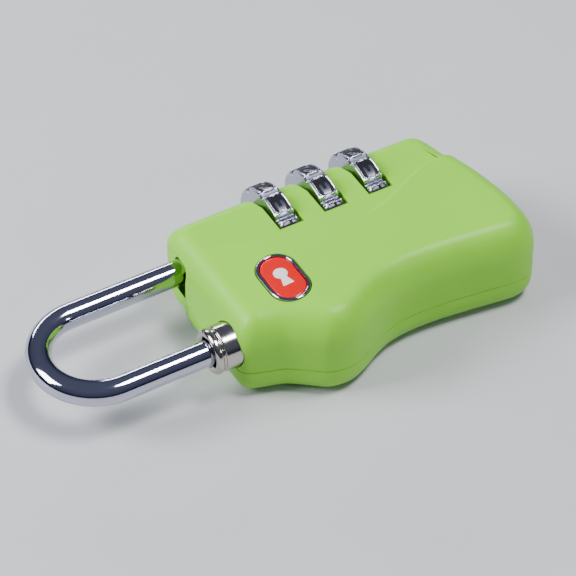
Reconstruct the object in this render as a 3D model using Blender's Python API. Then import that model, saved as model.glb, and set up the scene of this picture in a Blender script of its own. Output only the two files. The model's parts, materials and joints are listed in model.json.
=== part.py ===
"""Luggage combination padlock with three dials and a keyed release.

The lock lies on its back. +X runs from the shackle to the key end, +Y towards the
dials and +Z out of the front face. The origin is on the flat back, at the middle of
the body's length and halfway between the two shackle legs.

Opening by code: each fin on the shackle's long leg passes the gate of its dial
sleeve, and the shackle slides out until its short leg leaves the collar. Opening by
key: the plug turns a helical cam, which draws the collar into the body and frees the
short leg sideways.

Lengths are in millimetres and become metres when a mesh is made. A turning piece is
modelled round its local X axis and stands on that axis.
"""
import math

import bmesh
import bpy
from mathutils import Matrix, Vector

MM = 0.001

# --- driving dimensions, mm -------------------------------------------------------
END_X = -21.5                 # the body's shackle end
FAR_SIDE_Y = 11.8             # straight side, where the dials stand out
LAND_Z = 12.9                 # front face round the dials
RAISED_Z = 13.7               # raised front area
PARTING_Z = 4.5               # joint between the two covers
WALL = 1.3                    # cover wall
GAP = 0.3                     # running and seating gap between pieces
STEP_WIDTH = 0.6              # plan width of the step on the front
FRONT_EDGE = (3.2, 5.0)       # rounding of the front edge: inwards, downwards
BACK_EDGE = (2.8, 3.2)        # rounding of the back edge: inwards, upwards

AXIS_Z = 7.2                  # height of both legs, the dials and the key plug
LEG_Y = 7.45                  # the legs stand at +LEG_Y and -LEG_Y
ROD_RADIUS = 1.75
BEND_X = -36.85               # centre of the shackle's bend
SHORT_LEG_TIP_X = -21.25
LONG_LEG_TIP_X = 14.0
CLIP_X = (-14.0, -13.3)       # the stop clip on the long leg
CLIP_GROOVE_RADIUS = 1.35
BEND_STEPS = 20

DIAL_PITCH = 6.8
DIAL_X = [0.65 + DIAL_PITCH * (index - 1) for index in range(3)]
DIAL_RADIUS = 7.08
DIAL_WIDTH = 2.9
DIAL_PANELS = 10
DIAL_NOTCH_RADIUS = 6.45
DIAL_BORE = 3.3
DIAL_REST_ANGLE = math.radians(28.5)   # a number panel's centre, from +Y towards +Z
DIAL_SLOT_GAP = 0.38
# the scoop's slope: on the front face, on the far edge and beside the dial
SCOOP_CORNERS = ((-1.7, 7.0, LAND_Z), (-3.2, 10.9, 11.6), (-1.6, 10.9, 10.3))

SLEEVE_RADIUS = 3.0
SLEEVE_NOSE_RADIUS = 2.85
SLEEVE_X = (-2.3, 1.5)        # from its dial's middle
GATE_DISC_X = (-2.3, -0.9)
SLEEVE_CLEAR_RADIUS = 2.4
FIN_X = (-0.6, 0.6)
FIN_REACH = 2.15
FIN_WIDTH = 1.0
GATE_WIDTH = 1.6

COLLAR_FRONT_X = -24.6
COLLAR_RADIUS = 3.12
COLLAR_BORE = 2.05
COLLAR_TRAVEL = 3.9
FLANGE_RADIUS = 3.65          # of the collar's stop, inside the front wall
COLLAR_POCKET_END = -11.5
RECESS_HALF = 3.4             # beside and above the long leg, open to the far side
RECESS_DEPTH = 1.4
FRONT_WALL_X = (-19.0, -18.2)
FRAME_Z = (1.9, 11.2)
BEARING_WALL = (2.6, 5.05)    # from the middle of the dial before it

KEY_FACE_X = 21.9
PLUG_RADIUS = 3.6
PLUG_X = (7.7, KEY_FACE_X)
HOUSING_RADIUS = 4.7
HOUSING_X = (8.8, 21.5)
CAM_RADIUS = 3.5
CAM_X = 0.4
CAM_LOW_X = 1.6
ARM_X = (-6.9, -5.9)           # the slider's arm that reaches round the cam
LUG_X = (2.5, 3.3)            # its end, behind the ramp
WAFER_X = [10.4 + 2.0 * index for index in range(5)]

BADGE_X = -12.45
BADGE_Y = -5.9
BADGE_SIZE = (5.5, 8.9)       # along X, along Y
BADGE_Z = 13.5                # front face at the badge's middle
BADGE_TILT = math.radians(3.5)
SCREW_PLACES = [(-16.2, 1.5), (-9.4, -13.0), (14.9, 2.3)]
BOSS_RADIUS = 1.6

# --- outline of the body, mm ------------------------------------------------------
NEAR_SIDE = [(-18.1, -12.0), (-15.9, -12.75), (-13.6, -14.4), (-11.2, -16.1), (-8.2, -16.5),
             (-5.4, -15.6), (-2.4, -14.0), (0.8, -12.9), (5.0, -12.6), (10.5, -13.05), (17.4, -14.0)]
KEY_END = [(22.7, -9.6), (22.7, -7.0), (22.3, -3.5), (21.5, 0.5), (20.4, 4.3), (19.6, 7.4)]
FAR_SIDE = [(15.2, FAR_SIDE_Y), (-17.5, FAR_SIDE_Y)]
SHACKLE_END = [(END_X, 7.8), (END_X, 0.0), (END_X, -8.9)]
STEP_LINE = [(END_X, 4.7), (-19.4, 4.3), (-16.5, 3.65), (-13.9, 2.85), (-11.4, 2.0), (-9.0, 1.15),
             (-6.2, 0.4), (-3.6, -0.2), (-0.8, -0.6), (2.1, -0.82), (3.8, -0.65), (5.5, -0.15),
             (7.3, 0.5), (9.5, 1.55), (11.6, 2.55), (13.5, 3.3), (15.3, 3.8), (17.5, 4.0),
             (22.0, 4.1)]
STEP_FADE_X = (-20.5, -9.5)   # the step grows from nothing between these
# 0.39 makes a circular corner and more a squarer one: from the far corner by the
# shackle, round by the near side
CORNER_FULLNESS = (0.64, 0.5, 0.5, 0.5)

ALONG = 22                    # mesh stations along the body
LAND_ROWS = 3
RAISED_ROWS = 6


# --- scene helpers ----------------------------------------------------------------
def clear_scene():
    for existing in list(bpy.data.objects):
        bpy.data.objects.remove(existing, do_unlink=True)


def principled(name, colour, roughness, metallic=0.0):
    material = bpy.data.materials.new(name)
    material.use_nodes = True
    shader = material.node_tree.nodes["Principled BSDF"]
    shader.inputs["Base Color"].default_value = (*colour, 1.0)
    shader.inputs["Roughness"].default_value = roughness
    shader.inputs["Metallic"].default_value = metallic
    material.diffuse_color = (*colour, 1.0)
    return material


def empty(name, location):
    guide = bpy.data.objects.new(name, None)
    guide.location = Vector(location) * MM
    bpy.context.collection.objects.link(guide)
    return guide


def add_object(name, mesh_builder, material, location=(0, 0, 0), parent=None, turn=0.0):
    """Turn a bmesh in millimetres into an object in metres."""
    bmesh.ops.recalc_face_normals(mesh_builder, faces=mesh_builder.faces)
    bmesh.ops.scale(mesh_builder, vec=(MM, MM, MM), verts=mesh_builder.verts)
    mesh = bpy.data.meshes.new(name)
    mesh_builder.to_mesh(mesh)
    mesh_builder.free()
    mesh.shade_smooth()
    mesh.set_sharp_from_angle(angle=math.radians(35))
    if material:
        mesh.materials.append(material)
    piece = bpy.data.objects.new(name, mesh)
    piece.location = Vector(location) * MM
    piece.rotation_euler = (turn, 0.0, 0.0)
    piece.parent = parent
    bpy.context.collection.objects.link(piece)
    return piece


def tool(name, mesh_builder, location=(0, 0, 0), parent=None, turn=0.0):
    """A hidden shape for a Boolean."""
    shape = add_object(name, mesh_builder, None, location, parent, turn)
    shape.hide_render = True
    shape.display_type = "WIRE"
    return shape


def combine(piece, shapes, operation):
    for shape in shapes:
        step = piece.modifiers.new(shape.name, "BOOLEAN")
        step.operation = operation
        step.solver = "EXACT"
        step.object = shape


# --- mesh helpers -----------------------------------------------------------------
def loft(rings, join_ends=False):
    """Skin a list of loops that have the same number of points."""
    shape = bmesh.new()
    loops = [[shape.verts.new(point) for point in ring] for ring in rings]
    count = len(rings[0])
    pairs = list(zip(loops, loops[1:]))
    if join_ends:
        pairs.append((loops[-1], loops[0]))
    for first, second in pairs:
        for index in range(count):
            following = (index + 1) % count
            shape.faces.new((first[index], first[following], second[following], second[index]))
    if not join_ends:
        shape.faces.new(loops[0])
        shape.faces.new(loops[-1])
    return shape


def turned(profile, segments=32):
    """Spin a closed (x, radius) outline about X; a radius of 0 lies on the axis."""
    shape = bmesh.new()
    rings = []
    for x, radius in profile:
        if radius == 0:
            rings.append([shape.verts.new((x, 0, 0))])
            continue
        angles = [math.tau * index / segments for index in range(segments)]
        rings.append([shape.verts.new((x, radius * math.cos(a), radius * math.sin(a)))
                      for a in angles])
    for first, second in zip(rings, rings[1:] + rings[:1]):
        if len(first) == 1 and len(second) == 1:
            continue
        for index in range(segments):
            following = (index + 1) % segments
            corners = [first[index % len(first)], first[following % len(first)],
                       second[following % len(second)], second[index % len(second)]]
            shape.faces.new(list(dict.fromkeys(corners)))
    return shape


def arc_ring(x_range, radii, start, sweep, segments=24):
    """A flat C-shaped clip about X, from angle start through sweep."""
    rings = []
    for index in range(segments + 1):
        angle = start + sweep * index / segments
        side, up = math.cos(angle), math.sin(angle)
        corners = [(x_range[0], radii[0]), (x_range[1], radii[0]),
                   (x_range[1], radii[1]), (x_range[0], radii[1])]
        rings.append([(x, radius * side, radius * up) for x, radius in corners])
    return loft(rings)


def block(x_range, y_range, z_range):
    rings = [[(x, y_range[0], z_range[0]), (x, y_range[1], z_range[0]),
              (x, y_range[1], z_range[1]), (x, y_range[0], z_range[1])] for x in x_range]
    return loft(rings)


def coil_spring(x_range, radius, wire_radius, turns, sides=6, steps=12):
    """A compression spring about X, with its wire ends left square."""
    total = int(turns * steps)
    rings = []
    for index in range(total + 1):
        share = index / total
        angle = math.tau * turns * share
        outward = Vector((0, math.cos(angle), math.sin(angle)))
        x = x_range[0] + wire_radius + (x_range[1] - x_range[0] - 2 * wire_radius) * share
        centre = outward * radius + Vector((x, 0, 0))
        rings.append([centre + outward * wire_radius * math.cos(a)
                      + Vector((wire_radius * math.sin(a), 0, 0))
                      for a in (math.tau * side / sides for side in range(sides))])
    return loft(rings)


def smooth_curve(points, steps=10):
    """A Catmull-Rom curve through the points."""
    ends = [tuple(2 * a - b for a, b in zip(points[0], points[1])),
            tuple(2 * a - b for a, b in zip(points[-1], points[-2]))]
    full = [ends[0], *points, ends[1]]
    curve = []
    for index in range(1, len(full) - 2):
        before, start, end, after = (Vector((*full[index + shift], 0)) for shift in (-1, 0, 1, 2))
        for step in range(steps):
            t = step / steps
            curve.append(0.5 * (2 * start + (end - before) * t
                                + (2 * before - 5 * start + 4 * end - after) * t ** 2
                                + (3 * start - before - 3 * end + after) * t ** 3))
    curve.append(Vector((*points[-1], 0)))
    return curve


def corner_curve(first, second, fullness, steps=12):
    """A squared-off round between the end of one curve and the start of the next."""
    start, end = first[-1], second[0]
    reach = (end - start).length * fullness
    leave = (first[-1] - first[-2]).normalized() * reach
    arrive = (second[1] - second[0]).normalized() * reach
    points = []
    for step in range(steps + 1):
        t = step / steps
        points.append((1 - t) ** 3 * start + 3 * (1 - t) ** 2 * t * (start + leave)
                      + 3 * (1 - t) * t ** 2 * (end - arrive) + t ** 3 * end)
    return points


def offset_curve(curve, distance):
    """Move a curve sideways, to the left of its direction."""
    moved = []
    for index, point in enumerate(curve):
        before, after = curve[max(index - 1, 0)], curve[min(index + 1, len(curve) - 1)]
        along = (after - before).normalized()
        moved.append(point + Vector((-along.y, along.x, 0)) * distance)
    return moved


def spaced(curve, count):
    """Points at even steps of length along a curve, both ends included."""
    lengths = [0.0]
    for first, second in zip(curve, curve[1:]):
        lengths.append(lengths[-1] + (second - first).length)
    points = []
    segment = 0
    for index in range(count + 1):
        target = lengths[-1] * index / count
        while segment < len(curve) - 2 and lengths[segment + 1] < target:
            segment += 1
        span = lengths[segment + 1] - lengths[segment]
        share = (target - lengths[segment]) / span if span else 0.0
        points.append(curve[segment].lerp(curve[segment + 1], min(share, 1.0)))
    return points


def blend_between(value, low, high):
    share = min(max((value - low) / (high - low), 0.0), 1.0)
    return share * share * (3 - 2 * share)


# --- body shape -------------------------------------------------------------------
def split_at_y(curve, level):
    """Cut a curve where it crosses a Y level."""
    for index, (first, second) in enumerate(zip(curve, curve[1:])):
        if (first.y - level) * (second.y - level) <= 0 and first.y != second.y:
            crossing = first.lerp(second, (level - first.y) / (second.y - first.y))
            return curve[:index + 1] + [crossing], [crossing] + curve[index + 1:]
    raise ValueError("the curve doesn't reach that level")


def body_loop(inset=0.0):
    """The body's outline, moved inwards by inset, as one loop of mesh stations.

    It starts at the far corner by the shackle and runs: shackle end, near side,
    key end, far side. Each corner's middle belongs to both of its sides.
    """
    front, near, key, far = (offset_curve(smooth_curve(side), inset) for side in
                             (SHACKLE_END, NEAR_SIDE, KEY_END, FAR_SIDE))
    meetings = ((far, front), (front, near), (near, key), (key, far))
    corners = [corner_curve(first, second, fullness)
               for (first, second), fullness in zip(meetings, CORNER_FULLNESS)]
    half = len(corners[0]) // 2
    sides = []
    for index, side in enumerate((front, near, key, far)):
        arriving, leaving = corners[index], corners[(index + 1) % 4]
        sides.append(arriving[half:] + side[1:-1] + leaving[:half + 1])
    front, near, key, far = sides
    half_step = STEP_WIDTH / 2
    front_land, rest = split_at_y(front, STEP_LINE[0][1] + half_step)
    front_raised = split_at_y(rest, STEP_LINE[0][1] - half_step)[1]
    key_raised, rest = split_at_y(key, STEP_LINE[-1][1] - half_step)
    key_land = split_at_y(rest, STEP_LINE[-1][1] + half_step)[1]
    return (spaced(front_land, LAND_ROWS) + spaced(front_raised, RAISED_ROWS)
            + spaced(near, ALONG)[1:] + spaced(key_raised, RAISED_ROWS)[1:]
            + spaced(key_land, LAND_ROWS) + spaced(far, ALONG)[1:-1])


def front_height(x, on_raised):
    """Height of the front face: the step grows away from the shackle."""
    if not on_raised:
        return LAND_Z
    return LAND_Z + (RAISED_Z - LAND_Z) * blend_between(x, *STEP_FADE_X)


def raised_flags():
    """Which points of the outline loop lie on the raised side of the step."""
    first = LAND_ROWS + 1
    last = LAND_ROWS + 1 + 2 * RAISED_ROWS + ALONG
    total = 2 * ALONG + 2 * (LAND_ROWS + RAISED_ROWS + 1)
    return [first <= index <= last for index in range(total)]


def face_rows(loop):
    """Rows of points across the front face, from the far side to the near side."""
    step = spaced(smooth_curve(STEP_LINE), 240)
    rows_across = LAND_ROWS + RAISED_ROWS + 1
    columns = []
    for station in range(ALONG + 1):
        near_point = loop[rows_across + station]
        far_point = loop[-station] if station else loop[0]
        middle_x = 0.5 * (near_point.x + far_point.x)
        line_y = min(step, key=lambda point: abs(point.x - middle_x)).y
        land_edge = Vector((middle_x, line_y + STEP_WIDTH / 2, 0))
        raised_edge = Vector((middle_x, line_y - STEP_WIDTH / 2, 0))
        if station in (0, ALONG):
            side = loop[:rows_across + 1] if station == 0 else None
            if side is None:
                start = rows_across + ALONG
                side = loop[start:start + rows_across + 1][::-1]
            columns.append(list(side))
            continue
        land = [far_point.lerp(land_edge, row / LAND_ROWS) for row in range(LAND_ROWS + 1)]
        raised = [raised_edge.lerp(near_point, row / RAISED_ROWS)
                  for row in range(RAISED_ROWS + 1)]
        columns.append(land + raised)
    return columns


def face_grid(shape, loop, loop_verts, height_of):
    """Fill the face inside the last loop with quads."""
    rows_across = LAND_ROWS + RAISED_ROWS + 1
    columns = face_rows(loop)
    grid = []
    for station, column in enumerate(columns):
        verts = []
        for row, point in enumerate(column):
            if station == 0:
                verts.append(loop_verts[row])
            elif station == ALONG:
                verts.append(loop_verts[rows_across + ALONG + rows_across - row])
            elif row == 0:
                verts.append(loop_verts[-station])
            elif row == rows_across:
                verts.append(loop_verts[rows_across + station])
            else:
                z = height_of(point.x, row > LAND_ROWS)
                verts.append(shape.verts.new((point.x, point.y, z)))
        grid.append(verts)
    for left, right in zip(grid, grid[1:]):
        for row in range(rows_across):
            shape.faces.new((left[row], left[row + 1], right[row + 1], right[row]))


def add_loop(shape, loop, heights):
    return [shape.verts.new((point.x, point.y, z)) for point, z in zip(loop, heights)]


def join_loops(shape, first, second):
    count = len(first)
    for index in range(count):
        following = (index + 1) % count
        shape.faces.new((first[index], first[following], second[following], second[index]))


def edge_rounding(edge, steps):
    """(inwards, downwards) offsets from the face's level, from the wall to the face."""
    inwards, downwards = edge
    angles = [0.5 * math.pi * step / steps for step in range(steps + 1)]
    return [(inwards * (1 - math.cos(a)), downwards * (1 - math.sin(a))) for a in angles]


def cover_shell(is_front):
    """One cover: outer skin, cavity and the rim that joins them at the parting."""
    loop = body_loop()
    flags = raised_flags()
    shape = bmesh.new()
    sign = 1 if is_front else -1
    rim_z = PARTING_Z + sign * GAP / 2
    edge = FRONT_EDGE if is_front else BACK_EDGE
    tops = ([front_height(point.x, flag) for point, flag in zip(loop, flags)]
            if is_front else [0.0] * len(loop))

    outer = [add_loop(shape, loop, [rim_z] * len(loop))]
    last_loop = loop
    for inwards, downwards in edge_rounding(edge, 4):
        last_loop = body_loop(inwards)
        outer.append(add_loop(shape, last_loop, [top - sign * downwards for top in tops]))
    for first, second in zip(outer, outer[1:]):
        join_loops(shape, first, second)
    if is_front:
        face_grid(shape, last_loop, outer[-1], front_height)
    else:
        shape.faces.new(outer[-1])

    cavity_top = LAND_Z - WALL if is_front else WALL
    cavity = [add_loop(shape, body_loop(WALL), [rim_z] * len(loop))]
    for step in range(4):
        angle = math.pi * step / 6
        ring = body_loop(edge[0] * (1 - math.cos(angle)) + WALL * math.cos(angle))
        drop = (edge[1] - WALL) * (1 - math.sin(angle))
        cavity.append(add_loop(shape, ring, [cavity_top - sign * drop] * len(loop)))
    for first, second in zip(cavity, cavity[1:]):
        join_loops(shape, first, second)
    shape.faces.new(cavity[-1])
    join_loops(shape, outer[0], cavity[0])
    return shape


def dial_slot_tools(dial_axis):
    tools = []
    half = DIAL_WIDTH / 2 + DIAL_SLOT_GAP
    radius = DIAL_RADIUS + DIAL_SLOT_GAP
    for number, x in enumerate(DIAL_X, start=1):
        slot = turned([(-half, 0), (-half, radius), (half, radius), (half, 0)], 40)
        tools.append(tool(f"slot_tool_{number}", slot, (x, 0, 0), dial_axis))
    return tools


def scoop_tools():
    """A sloping cut on the shackle side of each dial, where a finger reaches in."""
    tools = []
    lift = Vector((0, 3, 10))
    top, far, deep = (Vector(corner) for corner in SCOOP_CORNERS)
    corners = [top, top + (far - top) * 1.6, top + (deep - top) * 1.6]
    for number, x in enumerate(DIAL_X, start=1):
        scoop = loft([corners, [corner + lift for corner in corners]])
        tools.append(tool(f"scoop_tool_{number}", scoop, (x, 0, 0)))
    return tools


def make_covers(plastic, dial_axis, key_axis):
    cuts = dial_slot_tools(dial_axis)
    outside = END_X - 3
    inside = FRONT_WALL_X[0] + GAP
    cuts.append(tool("long_leg_tool", turned([(outside, 0), (outside, 2.15), (inside, 2.15),
                                              (inside, 0)], 32), parent=dial_axis))
    recess = (outside, END_X + RECESS_DEPTH)
    cuts.append(tool("long_leg_recess_tool",
                     block(recess, (-RECESS_HALF, LEG_Y), (-10, RECESS_HALF)), parent=dial_axis))
    cuts.append(tool("collar_tool", turned([(outside, 0), (outside, COLLAR_RADIUS + GAP),
                                            (inside, COLLAR_RADIUS + GAP), (inside, 0)], 32),
                     parent=key_axis))
    stroke = (inside - GAP, COLLAR_POCKET_END)
    flange_room = FLANGE_RADIUS + GAP
    cuts.append(tool("collar_pocket_tool",
                     turned([(stroke[0], 0), (stroke[0], flange_room), (stroke[1], flange_room),
                             (stroke[1], 0)], 32), parent=key_axis))
    pack = (DIAL_X[0] - 4.5, DIAL_X[2] + 2.5)
    pocket = turned([(pack[0], 0), (pack[0], SLEEVE_RADIUS + GAP), (pack[1], SLEEVE_RADIUS + GAP),
                     (pack[1], 0)], 32)
    cuts.append(tool("sleeve_pocket_tool", pocket, parent=dial_axis))
    cuts.append(tool("key_tool", turned([(7, 0), (7, HOUSING_RADIUS + GAP), (24, HOUSING_RADIUS + GAP),
                                         (24, 0)], 32), parent=key_axis))
    front = add_object("front_cover", cover_shell(True), plastic)
    back = add_object("back_cover", cover_shell(False), plastic)
    badge = tool("badge_tool", capsule_plate(0.25, (-1.15, 2)), (BADGE_X, BADGE_Y, BADGE_Z))
    badge.rotation_euler = (0, -BADGE_TILT, 0)
    bosses, pilots, screw_holes = [], [], []
    for number, (x, y) in enumerate(SCREW_PLACES, start=1):
        place = (x, y, 0)
        boss = turned([(2.2, 0), (2.2, BOSS_RADIUS), (LAND_Z - 0.6, BOSS_RADIUS), (LAND_Z - 0.6, 0)], 16)
        bosses.append(upright_tool(f"boss_tool_{number}", boss, place))
        pilot = turned([(1, 0), (1, 0.9), (7.5, 0.9), (7.5, 0)], 12)
        pilots.append(upright_tool(f"pilot_tool_{number}", pilot, place))
        hole = turned([(-1, 0), (-1, 1.8), (0.85, 1.8), (0.85, 0.95), (3, 0.95), (3, 0)], 16)
        screw_holes.append(upright_tool(f"screw_tool_{number}", hole, place))
    combine(front, bosses, "UNION")
    combine(front, cuts + scoop_tools() + [badge] + pilots, "DIFFERENCE")
    combine(back, cuts + screw_holes, "DIFFERENCE")


def upright_tool(name, shape, location):
    """A hidden turned shape whose axis stands along +Z."""
    bmesh.ops.rotate(shape, matrix=Matrix.Rotation(-math.pi / 2, 3, "Y"), verts=shape.verts)
    return tool(name, shape, location)


# --- badge and screws ---------------------------------------------------------------
def capsule_outline(grow, steps=10):
    """A slot shape that is long in Y, grown outwards by grow."""
    radius = BADGE_SIZE[0] / 2 + grow
    straight = (BADGE_SIZE[1] - BADGE_SIZE[0]) / 2
    points = []
    for end, centre in ((0, straight), (1, -straight)):
        for step in range(steps + 1):
            angle = math.pi * (end + step / steps)
            points.append((radius * math.cos(angle), centre + radius * math.sin(angle)))
    return points


def capsule_plate(grow, heights):
    return loft([[(x, y, z) for x, y in capsule_outline(grow)] for z in heights])


def make_badge(silver, enamel):
    rim_rings = []
    for grow, z in ((0.0, -0.85), (0.0, 0.1), (-0.15, 0.25), (-0.5, 0.25), (-0.65, 0.1),
                    (-0.65, -0.45), (-2.0, -0.45), (-2.0, -0.85)):
        rim_rings.append([(x, y, z) for x, y in capsule_outline(grow)])
    place = (BADGE_X, BADGE_Y, BADGE_Z)
    rim = add_object("badge_rim", loft(rim_rings, join_ends=True), silver, place)
    inlay_rings = [[(x, y, z) for x, y in capsule_outline(grow)]
                   for grow, z in ((-0.95, -0.15), (-0.95, 0.05), (-1.3, 0.15))]
    inlay = add_object("badge_inlay", loft(inlay_rings), enamel, place)
    for piece in (rim, inlay):
        piece.rotation_euler = (0, -BADGE_TILT, 0)


def make_cover_screws(steel):
    for number, (x, y) in enumerate(SCREW_PLACES, start=1):
        profile = [(0.1, 0), (0.1, 1.3), (0.25, 1.45), (0.55, 1.45), (0.55, 0.6), (6.6, 0.6),
                   (7.0, 0.3), (7.0, 0)]
        screw = turned(profile, 14)
        bmesh.ops.rotate(screw, matrix=Matrix.Rotation(-math.pi / 2, 3, "Y"), verts=screw.verts)
        piece = add_object(f"cover_screw_{number}", screw, steel, (x, y, 0))
        slots = [tool(f"drive_tool_{number}_a", block((-0.95, 0.95), (-0.17, 0.17), (-0.5, 0.4)),
                      (x, y, 0)),
                 tool(f"drive_tool_{number}_b", block((-0.17, 0.17), (-0.95, 0.95), (-0.5, 0.4)),
                      (x, y, 0))]
        combine(piece, slots, "DIFFERENCE")


# --- mechanism frame ------------------------------------------------------------------
def bearing_wall_starts():
    return [DIAL_X[0] + DIAL_PITCH * (number - 1) + BEARING_WALL[0] for number in range(3)]


def make_frame(zinc, dial_axis, key_axis):
    web = block((FRONT_WALL_X[0] + 0.4, 16.9), (-2.4, -0.9), FRAME_Z)
    frame = add_object("mechanism_frame", web, zinc)
    thickness = BEARING_WALL[1] - BEARING_WALL[0]
    rear = DIAL_X[2] + BEARING_WALL[0]
    walls = [tool("front_wall_tool", block(FRONT_WALL_X, (-9.0, 8.8), (2.4, 10.0)))]
    for number, start in enumerate(bearing_wall_starts(), start=1):
        walls.append(tool(f"bearing_wall_tool_{number}",
                          block((start, start + thickness), (-1.5, 8.4), FRAME_Z)))
    walls.append(tool("rear_wall_tool", block((rear, rear + 1.6), (-1.5, 8.8), (2.0, 10.4))))
    walls.append(tool("spring_wall_tool", block((-9.1, -8.1), (-10.6, -1.5), (2.2, 11.0))))
    walls.append(tool("saddle_tool_1", block((9.6, 10.8), (-11.0, -1.5), (1.9, 9.4))))
    walls.append(tool("saddle_tool_2", block((15.5, 16.7), (-11.0, -1.5), (1.9, 9.4))))
    combine(frame, walls, "UNION")

    bores = []
    for number, start in enumerate(bearing_wall_starts(), start=1):
        seat = SLEEVE_NOSE_RADIUS + GAP
        profile = [(start - 1, 0), (start - 1, SLEEVE_CLEAR_RADIUS),
                   (start + 1.6, SLEEVE_CLEAR_RADIUS), (start + 1.6, seat),
                   (start + 3.5, seat), (start + 3.5, 0)]
        bores.append(tool(f"bearing_bore_tool_{number}", turned(profile, 24), parent=dial_axis))
    plain_bores = (("leg", (-22, -17), ROD_RADIUS, dial_axis),
                   ("rear", (rear - 1, rear + 4), ROD_RADIUS, dial_axis),
                   ("collar", (-22, -17), COLLAR_RADIUS, key_axis),
                   ("stem", (-10, -6), 1.2, key_axis),
                   ("housing", (8, 19), HOUSING_RADIUS, key_axis))
    for name, (start, end), radius, axis in plain_bores:
        bore = turned([(start, 0), (start, radius + GAP), (end, radius + GAP), (end, 0)], 28)
        bores.append(tool(f"{name}_bore_tool", bore, parent=axis))
    combine(frame, bores, "DIFFERENCE")


# --- shackle ----------------------------------------------------------------------------
def shackle_stations():
    """(centre, direction, radius) along the rod, from the short leg to the long leg."""
    stations = []
    for x, radius in ((SHORT_LEG_TIP_X, 0.9), (SHORT_LEG_TIP_X - 0.25, 1.4),
                      (SHORT_LEG_TIP_X - 0.8, ROD_RADIUS), (-29.0, ROD_RADIUS)):
        stations.append((Vector((x, -LEG_Y, 0)), Vector((-1, 0, 0)), radius))
    for step in range(BEND_STEPS + 1):
        angle = math.pi * step / BEND_STEPS
        outward = Vector((-math.sin(angle), -math.cos(angle), 0))
        along = Vector((-math.cos(angle), math.sin(angle), 0))
        stations.append((Vector((BEND_X, 0, 0)) + outward * LEG_Y, along, ROD_RADIUS))
    for x, radius in ((-29.0, ROD_RADIUS), (CLIP_X[0] - 0.35, ROD_RADIUS),
                      (CLIP_X[0] - 0.3, CLIP_GROOVE_RADIUS), (CLIP_X[1] + 0.3, CLIP_GROOVE_RADIUS),
                      (CLIP_X[1] + 0.35, ROD_RADIUS), (LONG_LEG_TIP_X - 0.4, ROD_RADIUS),
                      (LONG_LEG_TIP_X, 1.3)):
        stations.append((Vector((x, LEG_Y, 0)), Vector((1, 0, 0)), radius))
    return stations


def make_shackle(chrome, steel, dial_axis):
    sides = 16
    rings = []
    for centre, along, radius in shackle_stations():
        across = Vector((-along.y, along.x, 0))
        rings.append([centre + across * radius * math.cos(math.tau * side / sides)
                      + Vector((0, 0, radius * math.sin(math.tau * side / sides)))
                      for side in range(sides)])
    shape = loft(rings)
    bmesh.ops.translate(shape, vec=(0, -LEG_Y, 0), verts=shape.verts)
    shackle = add_object("shackle", shape, chrome, parent=dial_axis)
    fins = []
    for number, x in enumerate(DIAL_X, start=1):
        fin = block((x + FIN_X[0], x + FIN_X[1]), (-FIN_REACH, -0.9), (-FIN_WIDTH / 2, FIN_WIDTH / 2))
        fins.append(tool(f"fin_tool_{number}", fin, parent=dial_axis))
    combine(shackle, fins, "UNION")

    clip = arc_ring(CLIP_X, (1.65, 2.75), math.radians(70), math.radians(290))
    add_object("shackle_stop_clip", clip, steel, parent=dial_axis)
    first_wall = bearing_wall_starts()[0]
    spring = coil_spring((CLIP_X[1] + 0.15, first_wall - 0.15), 2.5, 0.17, 4)
    add_object("shackle_spring", spring, steel, parent=dial_axis)


# --- dials --------------------------------------------------------------------------------
def dial_mesh():
    pitch = math.tau / DIAL_PANELS
    notch_half = math.radians(4.4)
    shoulder_radius = DIAL_RADIUS - 0.04
    outer, inner = [], []
    for panel in range(DIAL_PANELS):
        middle = panel * pitch
        outer += [(middle - pitch / 2, DIAL_NOTCH_RADIUS),
                  (middle - pitch / 2 + notch_half, shoulder_radius),
                  (middle - pitch / 5, DIAL_RADIUS), (middle, DIAL_RADIUS),
                  (middle + pitch / 5, DIAL_RADIUS),
                  (middle + pitch / 2 - notch_half, shoulder_radius)]
        groove = math.radians(11)
        inner += [(middle - pitch / 2, DIAL_BORE), (middle - groove - 0.01, DIAL_BORE),
                  (middle - groove, DIAL_BORE + 0.65), (middle, DIAL_BORE + 0.65),
                  (middle + groove, DIAL_BORE + 0.65), (middle + groove + 0.01, DIAL_BORE)]
    half = DIAL_WIDTH / 2
    chamfer = 0.2
    rings = []
    for outline, x, shrink in ((outer, -half, chamfer), (outer, chamfer - half, 0.0),
                               (outer, half - chamfer, 0.0), (outer, half, chamfer),
                               (inner, half, 0.0), (inner, -half, 0.0)):
        rings.append([(x, (r - shrink) * math.cos(a), (r - shrink) * math.sin(a))
                      for a, r in outline])
    return loft(rings, join_ends=True)


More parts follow.
